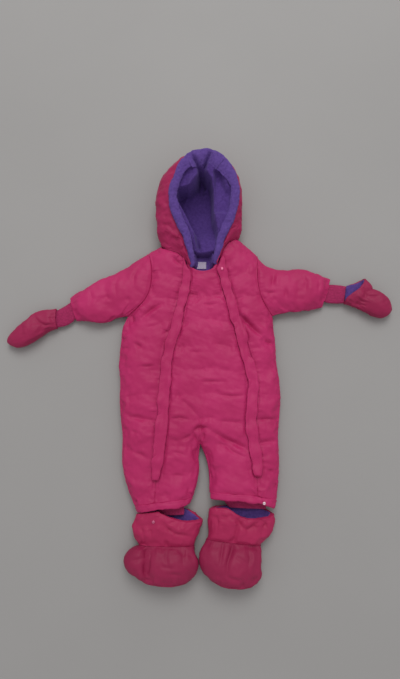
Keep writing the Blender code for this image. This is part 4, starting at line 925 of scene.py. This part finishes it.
@dataclass
class PaddedPiece:
    """A wadded piece on its solid's form, puffed by a short simulation and then creased."""

    node: str
    finish: Finish
    stitching: Stitching = PLAIN
    folds: tuple = ()
    longest: float = 19.0
    levels: int = 2
    relax: int = 5
    pressure: float = 4.0
    spare: float = 0.03
    most: float = 2.0
    fill: float = 0.45
    groove: float = 1.1
    seam_pucker: float = 0.95
    crumple: float = 0.72
    sewn_within: float = 4.5
    sewn_fade: float = 3.0
    floor_zone: float = 8.0
    channel: float = 6.0
    channel_fade: float = 4.0
    pucker_from: float = 2.2
    pucker_fade: float = 9.0
    under_band: float = 1.5
    facing_down: float = -0.6
    spared: float = 0.6
    seed: int = 1
    piece: bpy.types.Object | None = field(default=None, init=False)
    start: np.ndarray | None = field(default=None, init=False)

    def prepare(self) -> None:
        """Copy the solid finer, even out its channels and say which points stay sewn down."""
        piece = copy_of(self.node, self.longest)
        mesh = piece.data
        gap = NEIGHBOURS.gaps(points_of(mesh), NEIGHBOURS.others(self.node), PUCKER_REACH)
        subdivide(piece, 1, 1.0, np.clip(1.2 - gap / PUCKER_REACH, 0, 1))
        points = points_of(mesh)
        gap = NEIGHBOURS.gaps(points, NEIGHBOURS.others(self.node), REACH)
        held = np.maximum(np.clip((self.sewn_within - gap) / self.sewn_fade, 0, 1), corners_of(mesh))
        resting = np.clip(0.6 - 2 * normals_of(mesh)[:, 2], 0, 1) * (points[:, 2] < self.floor_zone)
        held = np.maximum(held, resting)
        points = smoothed(mesh, points, self.relax, held)
        set_points(mesh, points)
        if self.stitching.axis is not Quilting.NONE:
            line, on_line = self.stitching.nearest(points)
            firm = np.clip((self.channel - line) / self.channel_fade, 0, 1) * self.stitching.pull(on_line)
            held = np.maximum(held, firm)
        store(piece, "sewn", held)
        store(piece, "seam", 1 - gap / REACH)
        store(piece, "band", 1 - NEIGHBOURS.gaps(points, BANDS, REACH) / REACH)
        self.piece, self.start = piece, points

    def puff(self) -> None:
        """Give the piece its cloth settings."""
        modifier = self.piece.modifiers.new("puff", "CLOTH")
        cloth = modifier.settings
        for key, value in CLOTH.items():
            setattr(cloth, key, value)
        cloth.shrink_min = -self.spare
        cloth.shrink_max = -self.spare
        cloth.uniform_pressure_force = self.pressure
        cloth.effector_weights.gravity = 0
        modifier.collision_settings.use_collision = False

    def settle(self) -> None:
        """Take the puffed shape, with each point's move capped, and drop the simulation."""
        made = self.piece.evaluated_get(bpy.context.evaluated_depsgraph_get())
        moved = points_of(made.data) - self.start
        moved[~np.isfinite(moved).all(axis=1)] = 0
        far = np.linalg.norm(moved, axis=1)
        moved *= np.minimum(1, self.most / np.maximum(far, 1e-6))[:, None]
        self.piece.modifiers.clear()
        set_points(self.piece.data, self.start + moved)

    def refine(self) -> None:
        """Subdivide, then add stitching lines, creases, puckers and crumples."""
        piece = self.piece
        subdivide(piece, self.levels, 0.45, stored(piece, "seam"))
        mesh = piece.data
        points = points_of(mesh)
        held, seam, band = (stored(piece, name) for name in ("sewn", "seam", "band"))
        lift = self.crumple * sum(share * Ripple(wavelength, self.seed + number).at(points)
                                  for number, (wavelength, share) in enumerate(CRUMPLES))
        if self.stitching.axis is not Quilting.NONE:
            lift += self.stitching.lift(points)
        lift += self.puckers(points)
        top = np.clip(normals_of(mesh)[:, 2] * 3 - 0.2, 0, 1)
        for fold in self.folds:
            lift += top * fold.lift(points)
        outward = np.clip(lift, 0, None) * (1 - held)
        move = normals_of(mesh) * (np.clip(lift, None, 0) * (1 - 0.6 * seam) + outward)[:, None]
        move[:, :2] *= np.where(lift < 0, np.clip(1 - 1.4 * seam, 0, 1), 1)[:, None]
        points += move + normals_of(mesh) * closing(REACH * (1 - seam))[:, None]
        points[:, 2] -= (self.groove * seam ** 2 + self.under_band * band) * top
        set_points(mesh, points)
        self.thin_out()

    def thin_out(self) -> None:
        """Spare faces where the wall faces down, out of sight."""
        down = normals_of(self.piece.data)[:, 2] < self.facing_down
        store(self.piece, "down", down.astype(float))
        kept = 1 - self.spared * float(down.mean())
        apply_modifier(self.piece, "DECIMATE", ratio=kept, vertex_group="down")
        self.piece.vertex_groups.clear()

    def puckers(self, points: np.ndarray) -> np.ndarray:
        """Small ripples that run off the piece's seams.

        Args:
            points: vertex places in millimetres.

        Returns:
            One value a point, in millimetres.
        """
        gap = NEIGHBOURS.gaps(self.start, NEIGHBOURS.others(self.node), PUCKER_REACH)
        sewn = self.start[gap < self.pucker_from]
        if not len(sewn):
            return np.zeros(len(points))
        tree = KDTree(len(sewn))
        for index, place in enumerate(sewn):
            tree.insert(place, index)
        tree.balance()
        found = [tree.find(place) for place in points]
        near = np.array([item[0] for item in found])
        far = np.array([item[2] for item in found])
        return self.seam_pucker * Ripple(13, self.seed + 5).at(near) * np.exp(-far / self.pucker_fade)

    def dress(self) -> None:
        """Give the piece its finish and its place in the frame."""
        register(self.piece, self.finish, self.node)


def simulate(pieces: list) -> None:
    """Run the short cloth simulation of all pieces together.

    Args:
        pieces: prepared padded pieces.
    """
    scene = bpy.context.scene
    for item in pieces:
        item.puff()
    for number in range(1, LAST_FRAME + 1):
        scene.frame_set(number)
    for item in pieces:
        item.settle()
    scene.frame_set(1)


# ---------------------------------------------------------------- thin cloth

@dataclass
class ThinPiece:
    """A band, rib, lining or facing on its solid's form, with a finer surface."""

    node: str
    finish: Finish
    flat: tuple | None = None
    held: str = "laid"
    longest: float = 15.0
    levels: int = 2
    corner: float = 0.4
    waves: tuple = ((9.0, 0.35), (4.0, 0.15))
    folds: tuple = ()
    swell: float = 0.0
    sewn: bool = True
    fill: float = 0.3
    seed: int = 40

    def build(self) -> bpy.types.Object:
        """Make the piece.

        Returns:
            The finished object.
        """
        piece = copy_of(self.node, self.longest)
        gap = NEIGHBOURS.gaps(points_of(piece.data), NEIGHBOURS.others(self.node), REACH)
        store(piece, "seam", 1 - gap / REACH)
        subdivide(piece, self.levels, self.corner, stored(piece, "seam"))
        mesh = piece.data
        points = self.shape(points_of(mesh))
        top = np.clip(normals_of(mesh)[:, 2], 0, 1)
        seam = stored(piece, "seam")
        lift = self.swell * (1 - seam) * top
        if self.sewn:
            lift += closing(REACH * (1 - seam))
        piece.vertex_groups.clear()
        for number, (wavelength, height) in enumerate(self.waves):
            lift += height * Ripple(wavelength, self.seed + number).at(points)
        for fold in self.folds:
            lift += fold.lift(points) * (normals_of(mesh)[:, 2] > 0)
        set_points(mesh, points + normals_of(mesh) * lift[:, None])
        register(piece, self.finish, self.node)
        return piece

    def shape(self, points: np.ndarray) -> np.ndarray:
        """Places before the waves are added; plain pieces keep theirs.

        Args:
            points: vertex places in millimetres.

        Returns:
            The new places.
        """
        return points


@dataclass
class Placket(ThinPiece):
    """Folded band over a zip, whose top runs on to the hood and whose end stops above the hem."""

    start: float = 156.0
    longer: float = 1.0
    dip: float = 0.1
    low: float = -100.0
    shorter: float = 0.10

    def shape(self, points: np.ndarray) -> np.ndarray:
        """Points with both ends drawn up."""
        above = np.clip(points[:, 1] - self.start, 0, None)
        below = np.clip(self.low - points[:, 1], 0, None)
        points = points + above[:, None] * np.array((0.0, self.longer, -self.dip))
        return points + below[:, None] * np.array((0.0, self.shorter, 0.0))


@dataclass
class HemBand(ThinPiece):
    """Turned casing at the end of a leg, sewn close up to it."""

    shift: float = 0.9

    def shape(self, points: np.ndarray) -> np.ndarray:
        """Points moved up to the leg."""
        return points + np.array((0.0, self.shift, 0.0))


@dataclass
class AnkleRib(ThinPiece):
    """Knitted cuff, its free end a little turned up."""

    turned: float = 3.5
    tall: float = 16.0

    def shape(self, points: np.ndarray) -> np.ndarray:
        """Points with the free end drawn up."""
        low = np.clip((points[:, 1].min() + self.tall - points[:, 1]) / self.tall, 0, 1)
        return points + low[:, None] * np.array((0.0, self.turned, 0.0))


@dataclass
class Sole(ThinPiece):
    """Flat sole, drawn in under the puffed foot."""

    drawn: float = 0.95
    inward: float = 1.0

    def shape(self, points: np.ndarray) -> np.ndarray:
        """Points drawn towards the sole's middle and into the foot."""
        middle = (points.min(axis=0) + points.max(axis=0)) / 2
        drawn = (points - middle) * np.array((self.drawn, 1.0, self.drawn))
        return middle + drawn + np.array((0.0, self.inward, 0.0))


# ---------------------------------------------------------------- hood

# Top of the rim, from the right corner over the crown to the left one
RIM_PATH = ((-19, 162, 48), (-24, 178, 52), (-29, 196, 57), (-37, 215, 62), (-48, 235, 67), (-57, 256, 71),
            (-62, 281, 75), (-59, 310, 78), (-48, 337, 80), (-34, 362, 81), (-4, 379, 81), (25, 377, 81),
            (49, 361, 79), (64, 336, 77), (73, 308, 74), (73, 281, 70), (68, 258, 66), (60, 238, 61),
            (51, 219, 57), (43, 202, 53), (36, 184, 50), (29, 166, 47))
# How far the lining's smooth heights may miss the known ones
PLATE_SOFTNESS = 6.0


@dataclass
class FaceRim(ThinPiece):
    """Broad fleece rim round the face, widest at the crown, where it is gathered."""

    wider: float = 0.8
    crown: tuple = (0.36, 0.45, 0.60, 0.70)
    sag: float = 0.20
    wide: float = 18.0
    roll: float = 1.5
    roll_from: float = 0.6
    thinner: float = 4.5
    skin: float = 1.5
    skin_fade: float = 3.0
    foot_share: float = 0.04
    foot_run: tuple = (0.0, -5.0, -7.0)

    def shape(self, points: np.ndarray) -> np.ndarray:
        """Points with the crown's inner side drawn further in."""
        path = np.array(RIM_PATH, float)
        _, _, share, foot = along_line(points[:, :2], path[:, :2])
        lengths = lengths_along(path[:, :2])
        under = np.interp(share, lengths / lengths[-1], path[:, 2]) - points[:, 2]
        near = np.interp(share, self.crown, (0.0, 1.0, 1.0, 0.0))
        inward = points[:, :2] - foot
        points = points.copy()
        points[:, :2] = foot + inward * (1 + self.wider * near)[:, None]
        across = np.linalg.norm(inward, axis=1) / self.wide
        points[:, 2] -= self.sag * near * across * self.wide
        curl = np.clip((across - self.roll_from) / (1 - self.roll_from), 0, 1)
        points[:, 2] -= self.roll * near * curl ** 2
        below = np.clip((under - self.skin) / self.skin_fade, 0, 1)
        points[:, 2] += self.thinner * near * np.clip(across, 0, 1) * below
        for pleat in CROWN_PLEATS:
            points[:, 2] += pleat.lift(points)
        past = np.stack([self.foot_share - share, share - (1 - self.foot_share)])
        end = np.clip(past / self.foot_share, 0, 1).sum(axis=0)
        return points + end[:, None] * np.array(self.foot_run)


@dataclass
class NeckFacing(ThinPiece):
    """Fleece facing of the neck, which climbs to the rim at both sides."""

    middle: float = 5.0
    reach: float = 18.5
    width: float = 4.2
    climb: float = 19.0
    first_row: float = 158.0
    rise_over: float = 10.0

    def shape(self, points: np.ndarray) -> np.ndarray:
        """Points with both sides drawn up."""
        side = np.exp(-((np.abs(points[:, 0] - self.middle) - self.reach) / self.width) ** 2)
        points = points.copy()
        points[:, 2] += self.climb * side * np.clip((points[:, 1] - self.first_row) / self.rise_over, 0, 1)
        return points


@dataclass(frozen=True)
class Hollow:
    """A sunk area of the lining with a soft edge."""

    outline: tuple
    floor: tuple
    edge: float

    def sink(self, points: np.ndarray, level: np.ndarray) -> np.ndarray:
        """Heights with the area sunk to its floor.

        Args:
            points: rows of x, y, z in millimetres.
            level: heights before.

        Returns:
            The new heights.
        """
        ring = np.array(self.outline + self.outline[:1], float)
        far, _, _, _ = along_line(points[:, :2], ring)
        inside = np.zeros(len(points), bool)
        for (x1, y1), (x2, y2) in zip(ring[:-1], ring[1:]):
            if y1 != y2:
                spans = (points[:, 1] > min(y1, y2)) & (points[:, 1] <= max(y1, y2))
                inside ^= spans & (points[:, 0] < x1 + (points[:, 1] - y1) * (x2 - x1) / (y2 - y1))
        share = np.clip(0.5 + np.where(inside, far, -far) / self.edge, 0, 1)
        share = share * share * (3 - 2 * share)
        return level + (np.minimum(thin_plate(points, self.floor), level) - level) * share


def thin_plate(points: np.ndarray, known: tuple) -> np.ndarray:
    """Smooth height through known places.

    Args:
        points: rows of x, y, z in millimetres.
        known: places whose height is given.

    Returns:
        One height a point.
    """
    known = np.array(known, float)

    def kernel(first: np.ndarray) -> np.ndarray:
        """Thin-plate kernel between plan points and the known places."""
        far = np.linalg.norm(first[:, None, :2] - known[None, :, :2], axis=2)
        return far ** 2 * np.log(far + 1e-6)

    count = len(known)
    system = np.zeros((count + 3, count + 3))
    system[:count, :count] = kernel(known) + PLATE_SOFTNESS * np.eye(count)
    system[:count, count:] = np.column_stack([np.ones(count), known[:, :2]])
    system[count:, :count] = system[:count, count:].T
    weights = np.linalg.solve(system, np.concatenate([known[:, 2], np.zeros(3)]))
    slope = np.column_stack([np.ones(len(points)), points[:, :2]]) @ weights[count:]
    return kernel(points) @ weights[:count] + slope


@dataclass
class HoodLining:
    """Fleece lining as one loose sheet, let in under the rim and sunk into the hood."""

    node: str = "hood_lining"
    level: tuple = (
        (-29, 320, 68), (-21, 335, 70), (-10, 346, 75), (38, 342, 72), (23, 346, 75), (38, 311, 66),
        (40, 282, 62), (53, 275, 64), (44, 245, 60), (36, 223, 54), (35, 207, 50), (-34, 312, 67),
        (-20, 200, 46), (4, 184, 36), (-12, 186, 38), (20, 186, 38))
    hollows: tuple = (
        Hollow(((0, 343), (10, 332), (18, 322), (22, 304), (23, 282), (23, 259), (24, 244), (29, 226),
                (31, 209), (27, 190), (8, 180), (-6, 184), (-9, 207), (-11, 221), (-19, 236), (-27, 255),
                (-37, 273), (-45, 288), (-46, 297), (-42, 304), (-33, 306), (-21, 306), (-12, 315),
                (-6, 327), (-2, 339)),
               ((2, 325, 16), (2, 287, 12), (4, 262, 13), (8, 235, 21), (12, 206, 35), (8, 186, 38),
                (-34, 308, 20), (-22, 281, 14), (-12, 246, 15), (16, 240, 23), (25, 200, 40)), 8.0),
        Hollow(((26, 337), (40, 339), (41, 322), (48, 303), (57, 296), (54, 276), (50, 260), (38, 258),
                (26, 258)),
               ((30, 330, 59), (33, 300, 55), (46, 292, 56), (32, 268, 55), (48, 268, 57)), 9.0),
    )
    middle: tuple = (4.0, 280.0)
    crown_above: float = 80.0
    bottom: float = 11.0
    ceiling: float = 76.0
    waves: tuple = ((26, 0.5), (8, 0.18))
    seed: int = 61
    inset: float = 10.0
    drop: float = 7.6
    crown_rise: float = 1.8
    lowest: float = 10.8
    first_row: float = 182.5
    lip: float = 17.6
    steep: float = 4.4
    last_row: float = 366.0
    rows: int = 124
    columns: int = 78
    thick: float = 2.2
    flat: tuple = (135.0, 180.0)

    def build(self) -> bpy.types.Object:
        """Make the sheet.

        Returns:
            The finished object.
        """
        top = self.surface()
        flat = top.reshape(-1, 3)
        lift = sum(height * Ripple(wavelength, self.seed + number).at(flat)
                   for number, (wavelength, height) in enumerate(self.waves))
        for fold in (*LINING_CREASES, *CROWN_PLEATS):
            lift += fold.lift(flat)
        lip = self.lip + self.steep * (top[..., 1] - self.first_row)
        top[..., 2] = np.minimum(np.maximum(top[..., 2] + lift.reshape(top.shape[:2]), self.lowest), lip)
        under = top - (0.0, 0.0, self.thick)
        rows, columns = top.shape[:2]
        number = np.arange(rows * columns).reshape(rows, columns)
        faces = []
        for row in range(rows - 1):
            for column in range(columns - 1):
                ring = [number[row, column], number[row, column + 1],
                        number[row + 1, column + 1], number[row + 1, column]]
                faces += [ring, [index + number.size for index in reversed(ring)]]
        border = [*number[0], *number[1:, -1], *number[-1, -2::-1], *number[-2:0:-1, 0]]
        for here, there in zip(border, border[1:] + border[:1]):
            faces.append([there, here, here + number.size, there + number.size])
        mesh = bpy.data.meshes.new(self.node + "_cloth")
        places = np.vstack([flat, under.reshape(-1, 3)]) * MM
        mesh.from_pydata(places.tolist(), [], [[int(index) for index in face] for face in faces])
        piece = new_piece(self.node + "_cloth", mesh)
        register(piece, PAINTED_SHADE_LINING_FLEECE, self.node)
        return piece

    def surface(self) -> np.ndarray:
        """Grid of the sheet's upper side, between the two sides of the rim."""
        rim = np.array(RIM_PATH, float)
        crown = int(rim[:, 1].argmax())
        heights = np.linspace(self.first_row, self.last_row, self.rows)
        right = np.interp(heights, rim[:crown + 1, 1], rim[:crown + 1, 0]) + self.inset
        left = np.interp(heights, rim[crown:, 1][::-1], rim[crown:, 0][::-1]) - self.inset
        share = np.linspace(0, 1, self.columns)
        across = right[:, None] + (left - right)[:, None] * share
        along = np.repeat(heights[:, None], self.columns, axis=1)
        grid = np.stack([across, along, np.zeros_like(across)], axis=2)
        grid[..., 2] = self.height(grid.reshape(-1, 3)).reshape(across.shape)
        return grid

    def height(self, points: np.ndarray) -> np.ndarray:
        """Height of the sheet: level with the rim, but for its hollows.

        Args:
            points: rows of x, y, z in millimetres.

        Returns:
            One height a point.
        """
        rim = np.array(RIM_PATH[2:-2], float)
        way = np.array(self.middle) - rim[:, :2]
        way /= np.linalg.norm(way, axis=1)[:, None]
        drop = self.drop - self.crown_rise * (rim[:, 2] > self.crown_above)
        edge = np.column_stack([rim[:, :2] + way * self.inset, rim[:, 2] - drop])
        level = thin_plate(points, (*self.level, *map(tuple, edge)))
        for hollow in self.hollows:
            level = hollow.sink(points, level)
        return np.clip(level, self.bottom, self.ceiling)


# ---------------------------------------------------------------- trim

# Metres above the floor, clear of the whole suit
HIGH = 0.2


@dataclass
class PressStud:
    """Low domed cap of a press snap with a rolled rim."""

    node: str
    finish: Metal
    radius: float = 2.7
    height: float = 1.7
    barrel: float = 0.6
    steps: tuple = ((0.22, -0.22), (0.1, 0.4), (0.3, 0.1))
    bevel: float = 0.3

    def build(self) -> bpy.types.Object:
        """Model the snap where its solid is.

        Returns:
            The finished object.
        """
        low, high = (np.array(corner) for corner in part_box(self.node))
        middle = (low + high) / 2
        bpy.ops.object.select_all(action="DESELECT")
        place = (middle[0], middle[1], low[2] + self.barrel / 2 * self.height * MM)
        bpy.ops.mesh.primitive_cylinder_add(vertices=32, radius=self.radius * MM,
                                            depth=self.barrel * self.height * MM, location=place)
        piece = bpy.context.active_object
        piece.name = self.node + "_cap"
        bpy.ops.object.transform_apply(location=True, rotation=True, scale=True)
        bpy.ops.object.mode_set(mode="EDIT")
        bpy.ops.mesh.select_mode(type="FACE")
        self.select_top(piece)
        for inward, upward in self.steps:
            bpy.ops.mesh.inset(thickness=inward * self.radius * MM)
            bpy.ops.transform.translate(value=(0, 0, upward * self.height * MM))
        bpy.ops.object.mode_set(mode="OBJECT")
        apply_modifier(piece, "BEVEL", width=self.bevel * MM, segments=2, limit_method="ANGLE")
        apply_modifier(piece, "SUBSURF", levels=1, render_levels=1)
        register(piece, self.finish, self.node)
        return piece

    @staticmethod
    def select_top(piece: bpy.types.Object) -> None:
        """Select only the upper cap of the cylinder."""
        work = bmesh.from_edit_mesh(piece.data)
        for face in work.faces:
            face.select_set(face.normal.z > 0.9)
        bmesh.update_edit_mesh(piece.data)


@dataclass
class Topstitching:
    """Rows of short threads that lie on the finished cloth."""

    name: str
    lines: tuple
    finish: SatinTape
    long: float = 2.6
    space: float = 1.1
    thick: float = 0.55
    proud: float = 0.1
    jump: float = 1.8

    def build(self, cloth: list) -> bpy.types.Object:
        """Lay the threads.

        Args:
            cloth: pieces that the rows may lie on.

        Returns:
            The finished object.
        """
        shape, faces = self.one_thread()
        trees = [tree_of(piece.data) for piece in cloth]
        places, polygons = [], []
        for line in self.lines:
            for start, end in self.stitches(np.array(line, float)):
                ends = [self.drop(trees, place) for place in (start, end)]
                if None in ends:
                    continue
                run = np.array(ends[1]) - np.array(ends[0])
                if np.linalg.norm(run) > self.jump * self.long:
                    continue
                across = np.cross(run, (0, 0, 1.0))
                across /= np.linalg.norm(across)
                up = np.cross(across, run)
                up /= np.linalg.norm(up)
                middle = (np.array(ends[0]) + np.array(ends[1])) / 2 + up * self.proud * self.thick
                polygons += [[index + len(places) for index in face] for face in faces]
                places += [middle + x * run / 2 + (y * across + z * up) * self.thick / 2 for x, y, z in shape]
        mesh = bpy.data.meshes.new(self.name)
        mesh.from_pydata((np.array(places) * MM).tolist(), [], polygons)
        piece = new_piece(self.name, mesh)
        register(piece, self.finish)
        return piece

    def one_thread(self) -> tuple:
        """Corners and faces of one thread, made once from a round primitive."""
        bpy.ops.object.select_all(action="DESELECT")
        bpy.ops.mesh.primitive_ico_sphere_add(subdivisions=1, radius=1.0)
        model = bpy.context.active_object
        shape = [np.array(v.co) for v in model.data.vertices]
        faces = [list(p.vertices) for p in model.data.polygons]
        bpy.data.objects.remove(model, do_unlink=True)
        return shape, faces

    def stitches(self, line: np.ndarray) -> list:
        """Start and end of each thread along a plan line."""
        starts = lengths_along(line)
        marks = np.arange(0, starts[-1] - self.long, self.long + self.space)
        return [[np.array([np.interp(at, starts, line[:, axis]) for axis in (0, 1)])
                 for at in (mark, mark + self.long)] for mark in marks]

    @staticmethod
    def drop(trees: list, place: np.ndarray) -> tuple | None:
        """Point of the cloth straight under a plan point, or None."""
        best = None
        for tree in trees:
            hit = tree.ray_cast(Vector((place[0] * MM, place[1] * MM, HIGH)), Vector((0, 0, -1)))
            if hit[0] is not None and (best is None or hit[0].z > best[2] * MM):
                best = tuple(value / MM for value in hit[0])
        return best


# ---------------------------------------------------------------- stage

@dataclass
class Studio:
    """Plain floor, soft light and the camera."""

    floor_size: float = 6.0
    floor_drop: float = 0.0003
    floor_colour: tuple = (0.33, 0.32, 0.31)
    floor_shade: float = 0.96
    camera_place: tuple = (-0.002, -0.140, 1.0186)
    camera_tilt: float = 9.07
    lens: float = 47.7
    sensor: float = 36.0
    window_place: tuple = (0.15, 2.4, 3.3)
    window_size: float = 2.6
    window_power: float = 75.0
    fill_strength: float = 0.62
    fill_colour: tuple = (0.98, 0.98, 1.0, 1.0)

    def build(self) -> None:
        """Make the floor, lights, world and camera."""
        self.make_floor()
        self.make_light()
        self.make_camera()

    def make_floor(self) -> None:
        """Plain pale floor, just under the suit."""
        bpy.ops.object.select_all(action="DESELECT")
        bpy.ops.mesh.primitive_plane_add(size=self.floor_size, location=(0, 0, -self.floor_drop))
        floor = bpy.context.active_object
        floor.name = "floor"
        bpy.ops.object.transform_apply(location=True)
        graph = NodeGraph("pale floor")
        shade = tuple(self.floor_shade * value for value in self.floor_colour)
        colour = graph.blend(graph.noise(3.0, 3.0), shade, self.floor_colour)
        look = {"Roughness": 0.6, "Specular IOR Level": 0.3}
        floor.data.materials.append(graph.finish(colour, None, look))

    def make_light(self) -> None:
        """Large soft light from above the head, and an even surround."""
        data = bpy.data.lights.new("window", "AREA")
        data.shape = "DISK"
        data.size = self.window_size
        data.energy = self.window_power
        light = bpy.data.objects.new("window", data)
        light.location = self.window_place
        light.rotation_euler = (-Vector(self.window_place)).to_track_quat("-Z", "Y").to_euler()
        bpy.context.scene.collection.objects.link(light)
        world = bpy.data.worlds.new("surround")
        world.use_nodes = True
        background = world.node_tree.nodes["Background"]
        background.inputs["Color"].default_value = self.fill_colour
        background.inputs["Strength"].default_value = self.fill_strength
        bpy.context.scene.world = world

    def make_camera(self) -> None:
        """Camera above the hips, tilted towards the head."""
        data = bpy.data.cameras.new("camera")
        data.sensor_fit = "HORIZONTAL"
        data.sensor_width = self.sensor
        data.lens = self.lens
        camera = bpy.data.objects.new("camera", data)
        camera.location = self.camera_place
        camera.rotation_euler = (math.radians(self.camera_tilt), 0, 0)
        bpy.context.scene.collection.objects.link(camera)
        bpy.context.scene.camera = camera
        bpy.context.scene.view_settings.view_transform = "Standard"


# ---------------------------------------------------------------- the suit

def padded_pieces() -> list:
    """All wadded pieces of the suit, each with seeds of its own."""
    body = {"finish": SHELL, "stitching": BODY_STITCHING, "folds": FRONT_CREASES}
    back = {"finish": SHELL, "stitching": BODY_STITCHING, "longest": 24.0, "levels": 1}
    sleeve = {"finish": SHELL, "stitching": SLEEVE_STITCHING, "folds": SLEEVE_CREASES}
    hood = {"finish": HOOD_PAINTED_SHADE_SHELL, "folds": HOOD_CREASES, "relax": 1}
    mitten = {"finish": BOOTEE_SHELL, "folds": MITTEN_CREASES, "relax": 0, "groove": 0.6}
    bootee = {"folds": BOOTEE_CREASES, "relax": 0, "seam_pucker": 1.3, "groove": 0.7}
    rows = [("front_centre", body), ("front_side_left", body), ("front_side_right", body), ("back", back)]
    for name, settings in (("sleeve_{}", sleeve), ("hood_{}", hood), ("mitten_{}", mitten),
                           ("bootee_{}_shaft", {"finish": SHAFT_PAINTED_LIGHT_SHELL, **bootee}),
                           ("bootee_{}_foot", {"finish": FOOT_PAINTED_SHADE_SHELL, **bootee})):
        rows += [(name.format(side), settings) for side in ("left", "right")]
    return [PaddedPiece(name, seed=100 + 10 * number, **settings)
            for number, (name, settings) in enumerate(rows)]


def thin_pieces() -> list:
    """Bands, ribs, linings, rim, facing and soles."""
    pieces = [
        FaceRim("hood_edge", RIM_FLEECE, flat=(560.0, 20.0), folds=RIM_CREASES, levels=3, corner=0.0,
                waves=((24.0, 0.5), (8.0, 0.3), (4.5, 0.15))),
        HoodLining(),
        NeckFacing("neck_facing", RIM_FLEECE, flat=(112.0, 40.0), sewn=False, waves=((9.0, 0.2),)),
        ThinPiece("mitten_left_lining", RIM_FLEECE, flat=(93.0, 36.0), sewn=False, waves=((9.0, 0.3),)),
    ]
    for side, hem, ankle in (("left", 245.0, 152.0), ("right", 211.0, 100.0)):
        pieces += [
            Placket("placket_" + side, SHELL, flat=(20.0, 417.0), held="folded", corner=0.0,
                    waves=((38.0, 0.7), (21.0, 0.7), (8.0, 0.15))),
            HemBand("hem_band_" + side, SHELL, flat=(hem, 19.0), held="folded", swell=2.3,
                      waves=((30.0, 0.5), (11.0, 0.4), (6.0, 0.12))),
            ThinPiece("wrist_rib_" + side, RIB, flat=(85.0, 37.0), sewn=False, waves=((14.0, 0.15),)),
            AnkleRib("ankle_rib_" + side, RIB, flat=(ankle, 35.0), sewn=False, waves=((14.0, 0.15),)),
            ThinPiece("bootee_" + side + "_lining", RIM_FLEECE, flat=(203.0, 34.0), sewn=False,
                      waves=((9.0, 0.3),)),
            Sole("bootee_" + side + "_sole", FOOT_PAINTED_SHADE_SHELL, corner=0.8, levels=1,
                 waves=((20.0, 0.3), (8.0, 0.15))),
        ]
    return pieces


def dress_kept_nodes() -> None:
    """Better materials on the solids that stay."""
    for name, finish in (("zip_left", TAPE), ("zip_right", TAPE), ("label", LABEL_TAPE)):
        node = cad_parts[name]
        for slot in node.material_slots:
            slot.material = material_of(finish)
        LOG.info("%s: %s", name, finish.name)


def write_sizes() -> None:
    """Bring the view layer up to date."""
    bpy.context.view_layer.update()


def main() -> None:
    """Build the whole scene."""
    Studio().build()
    padded = padded_pieces()
    for item in padded:
        item.prepare()
    simulate(padded)
    for item in padded:
        item.refine()
        item.dress()
    thin = [item.build() for item in thin_pieces()]
    snaps = (("snap_neck", PINK_SNAP), ("snap_bootee_right", PINK_SNAP), ("snap_hem_left", BARE_SNAP))
    for name, finish in snaps:
        PressStud(name, finish).build()
    Topstitching("topstitching", STITCH_LINES, THREAD).build([item.piece for item in padded] + thin)
    dress_kept_nodes()
    write_sizes()
    meshes = [item.data for item in bpy.context.scene.objects if item.type == "MESH"]
    LOG.info("faces in all: %d", sum(len(mesh.polygons) for mesh in meshes))


if __name__ == "__main__":
    main()
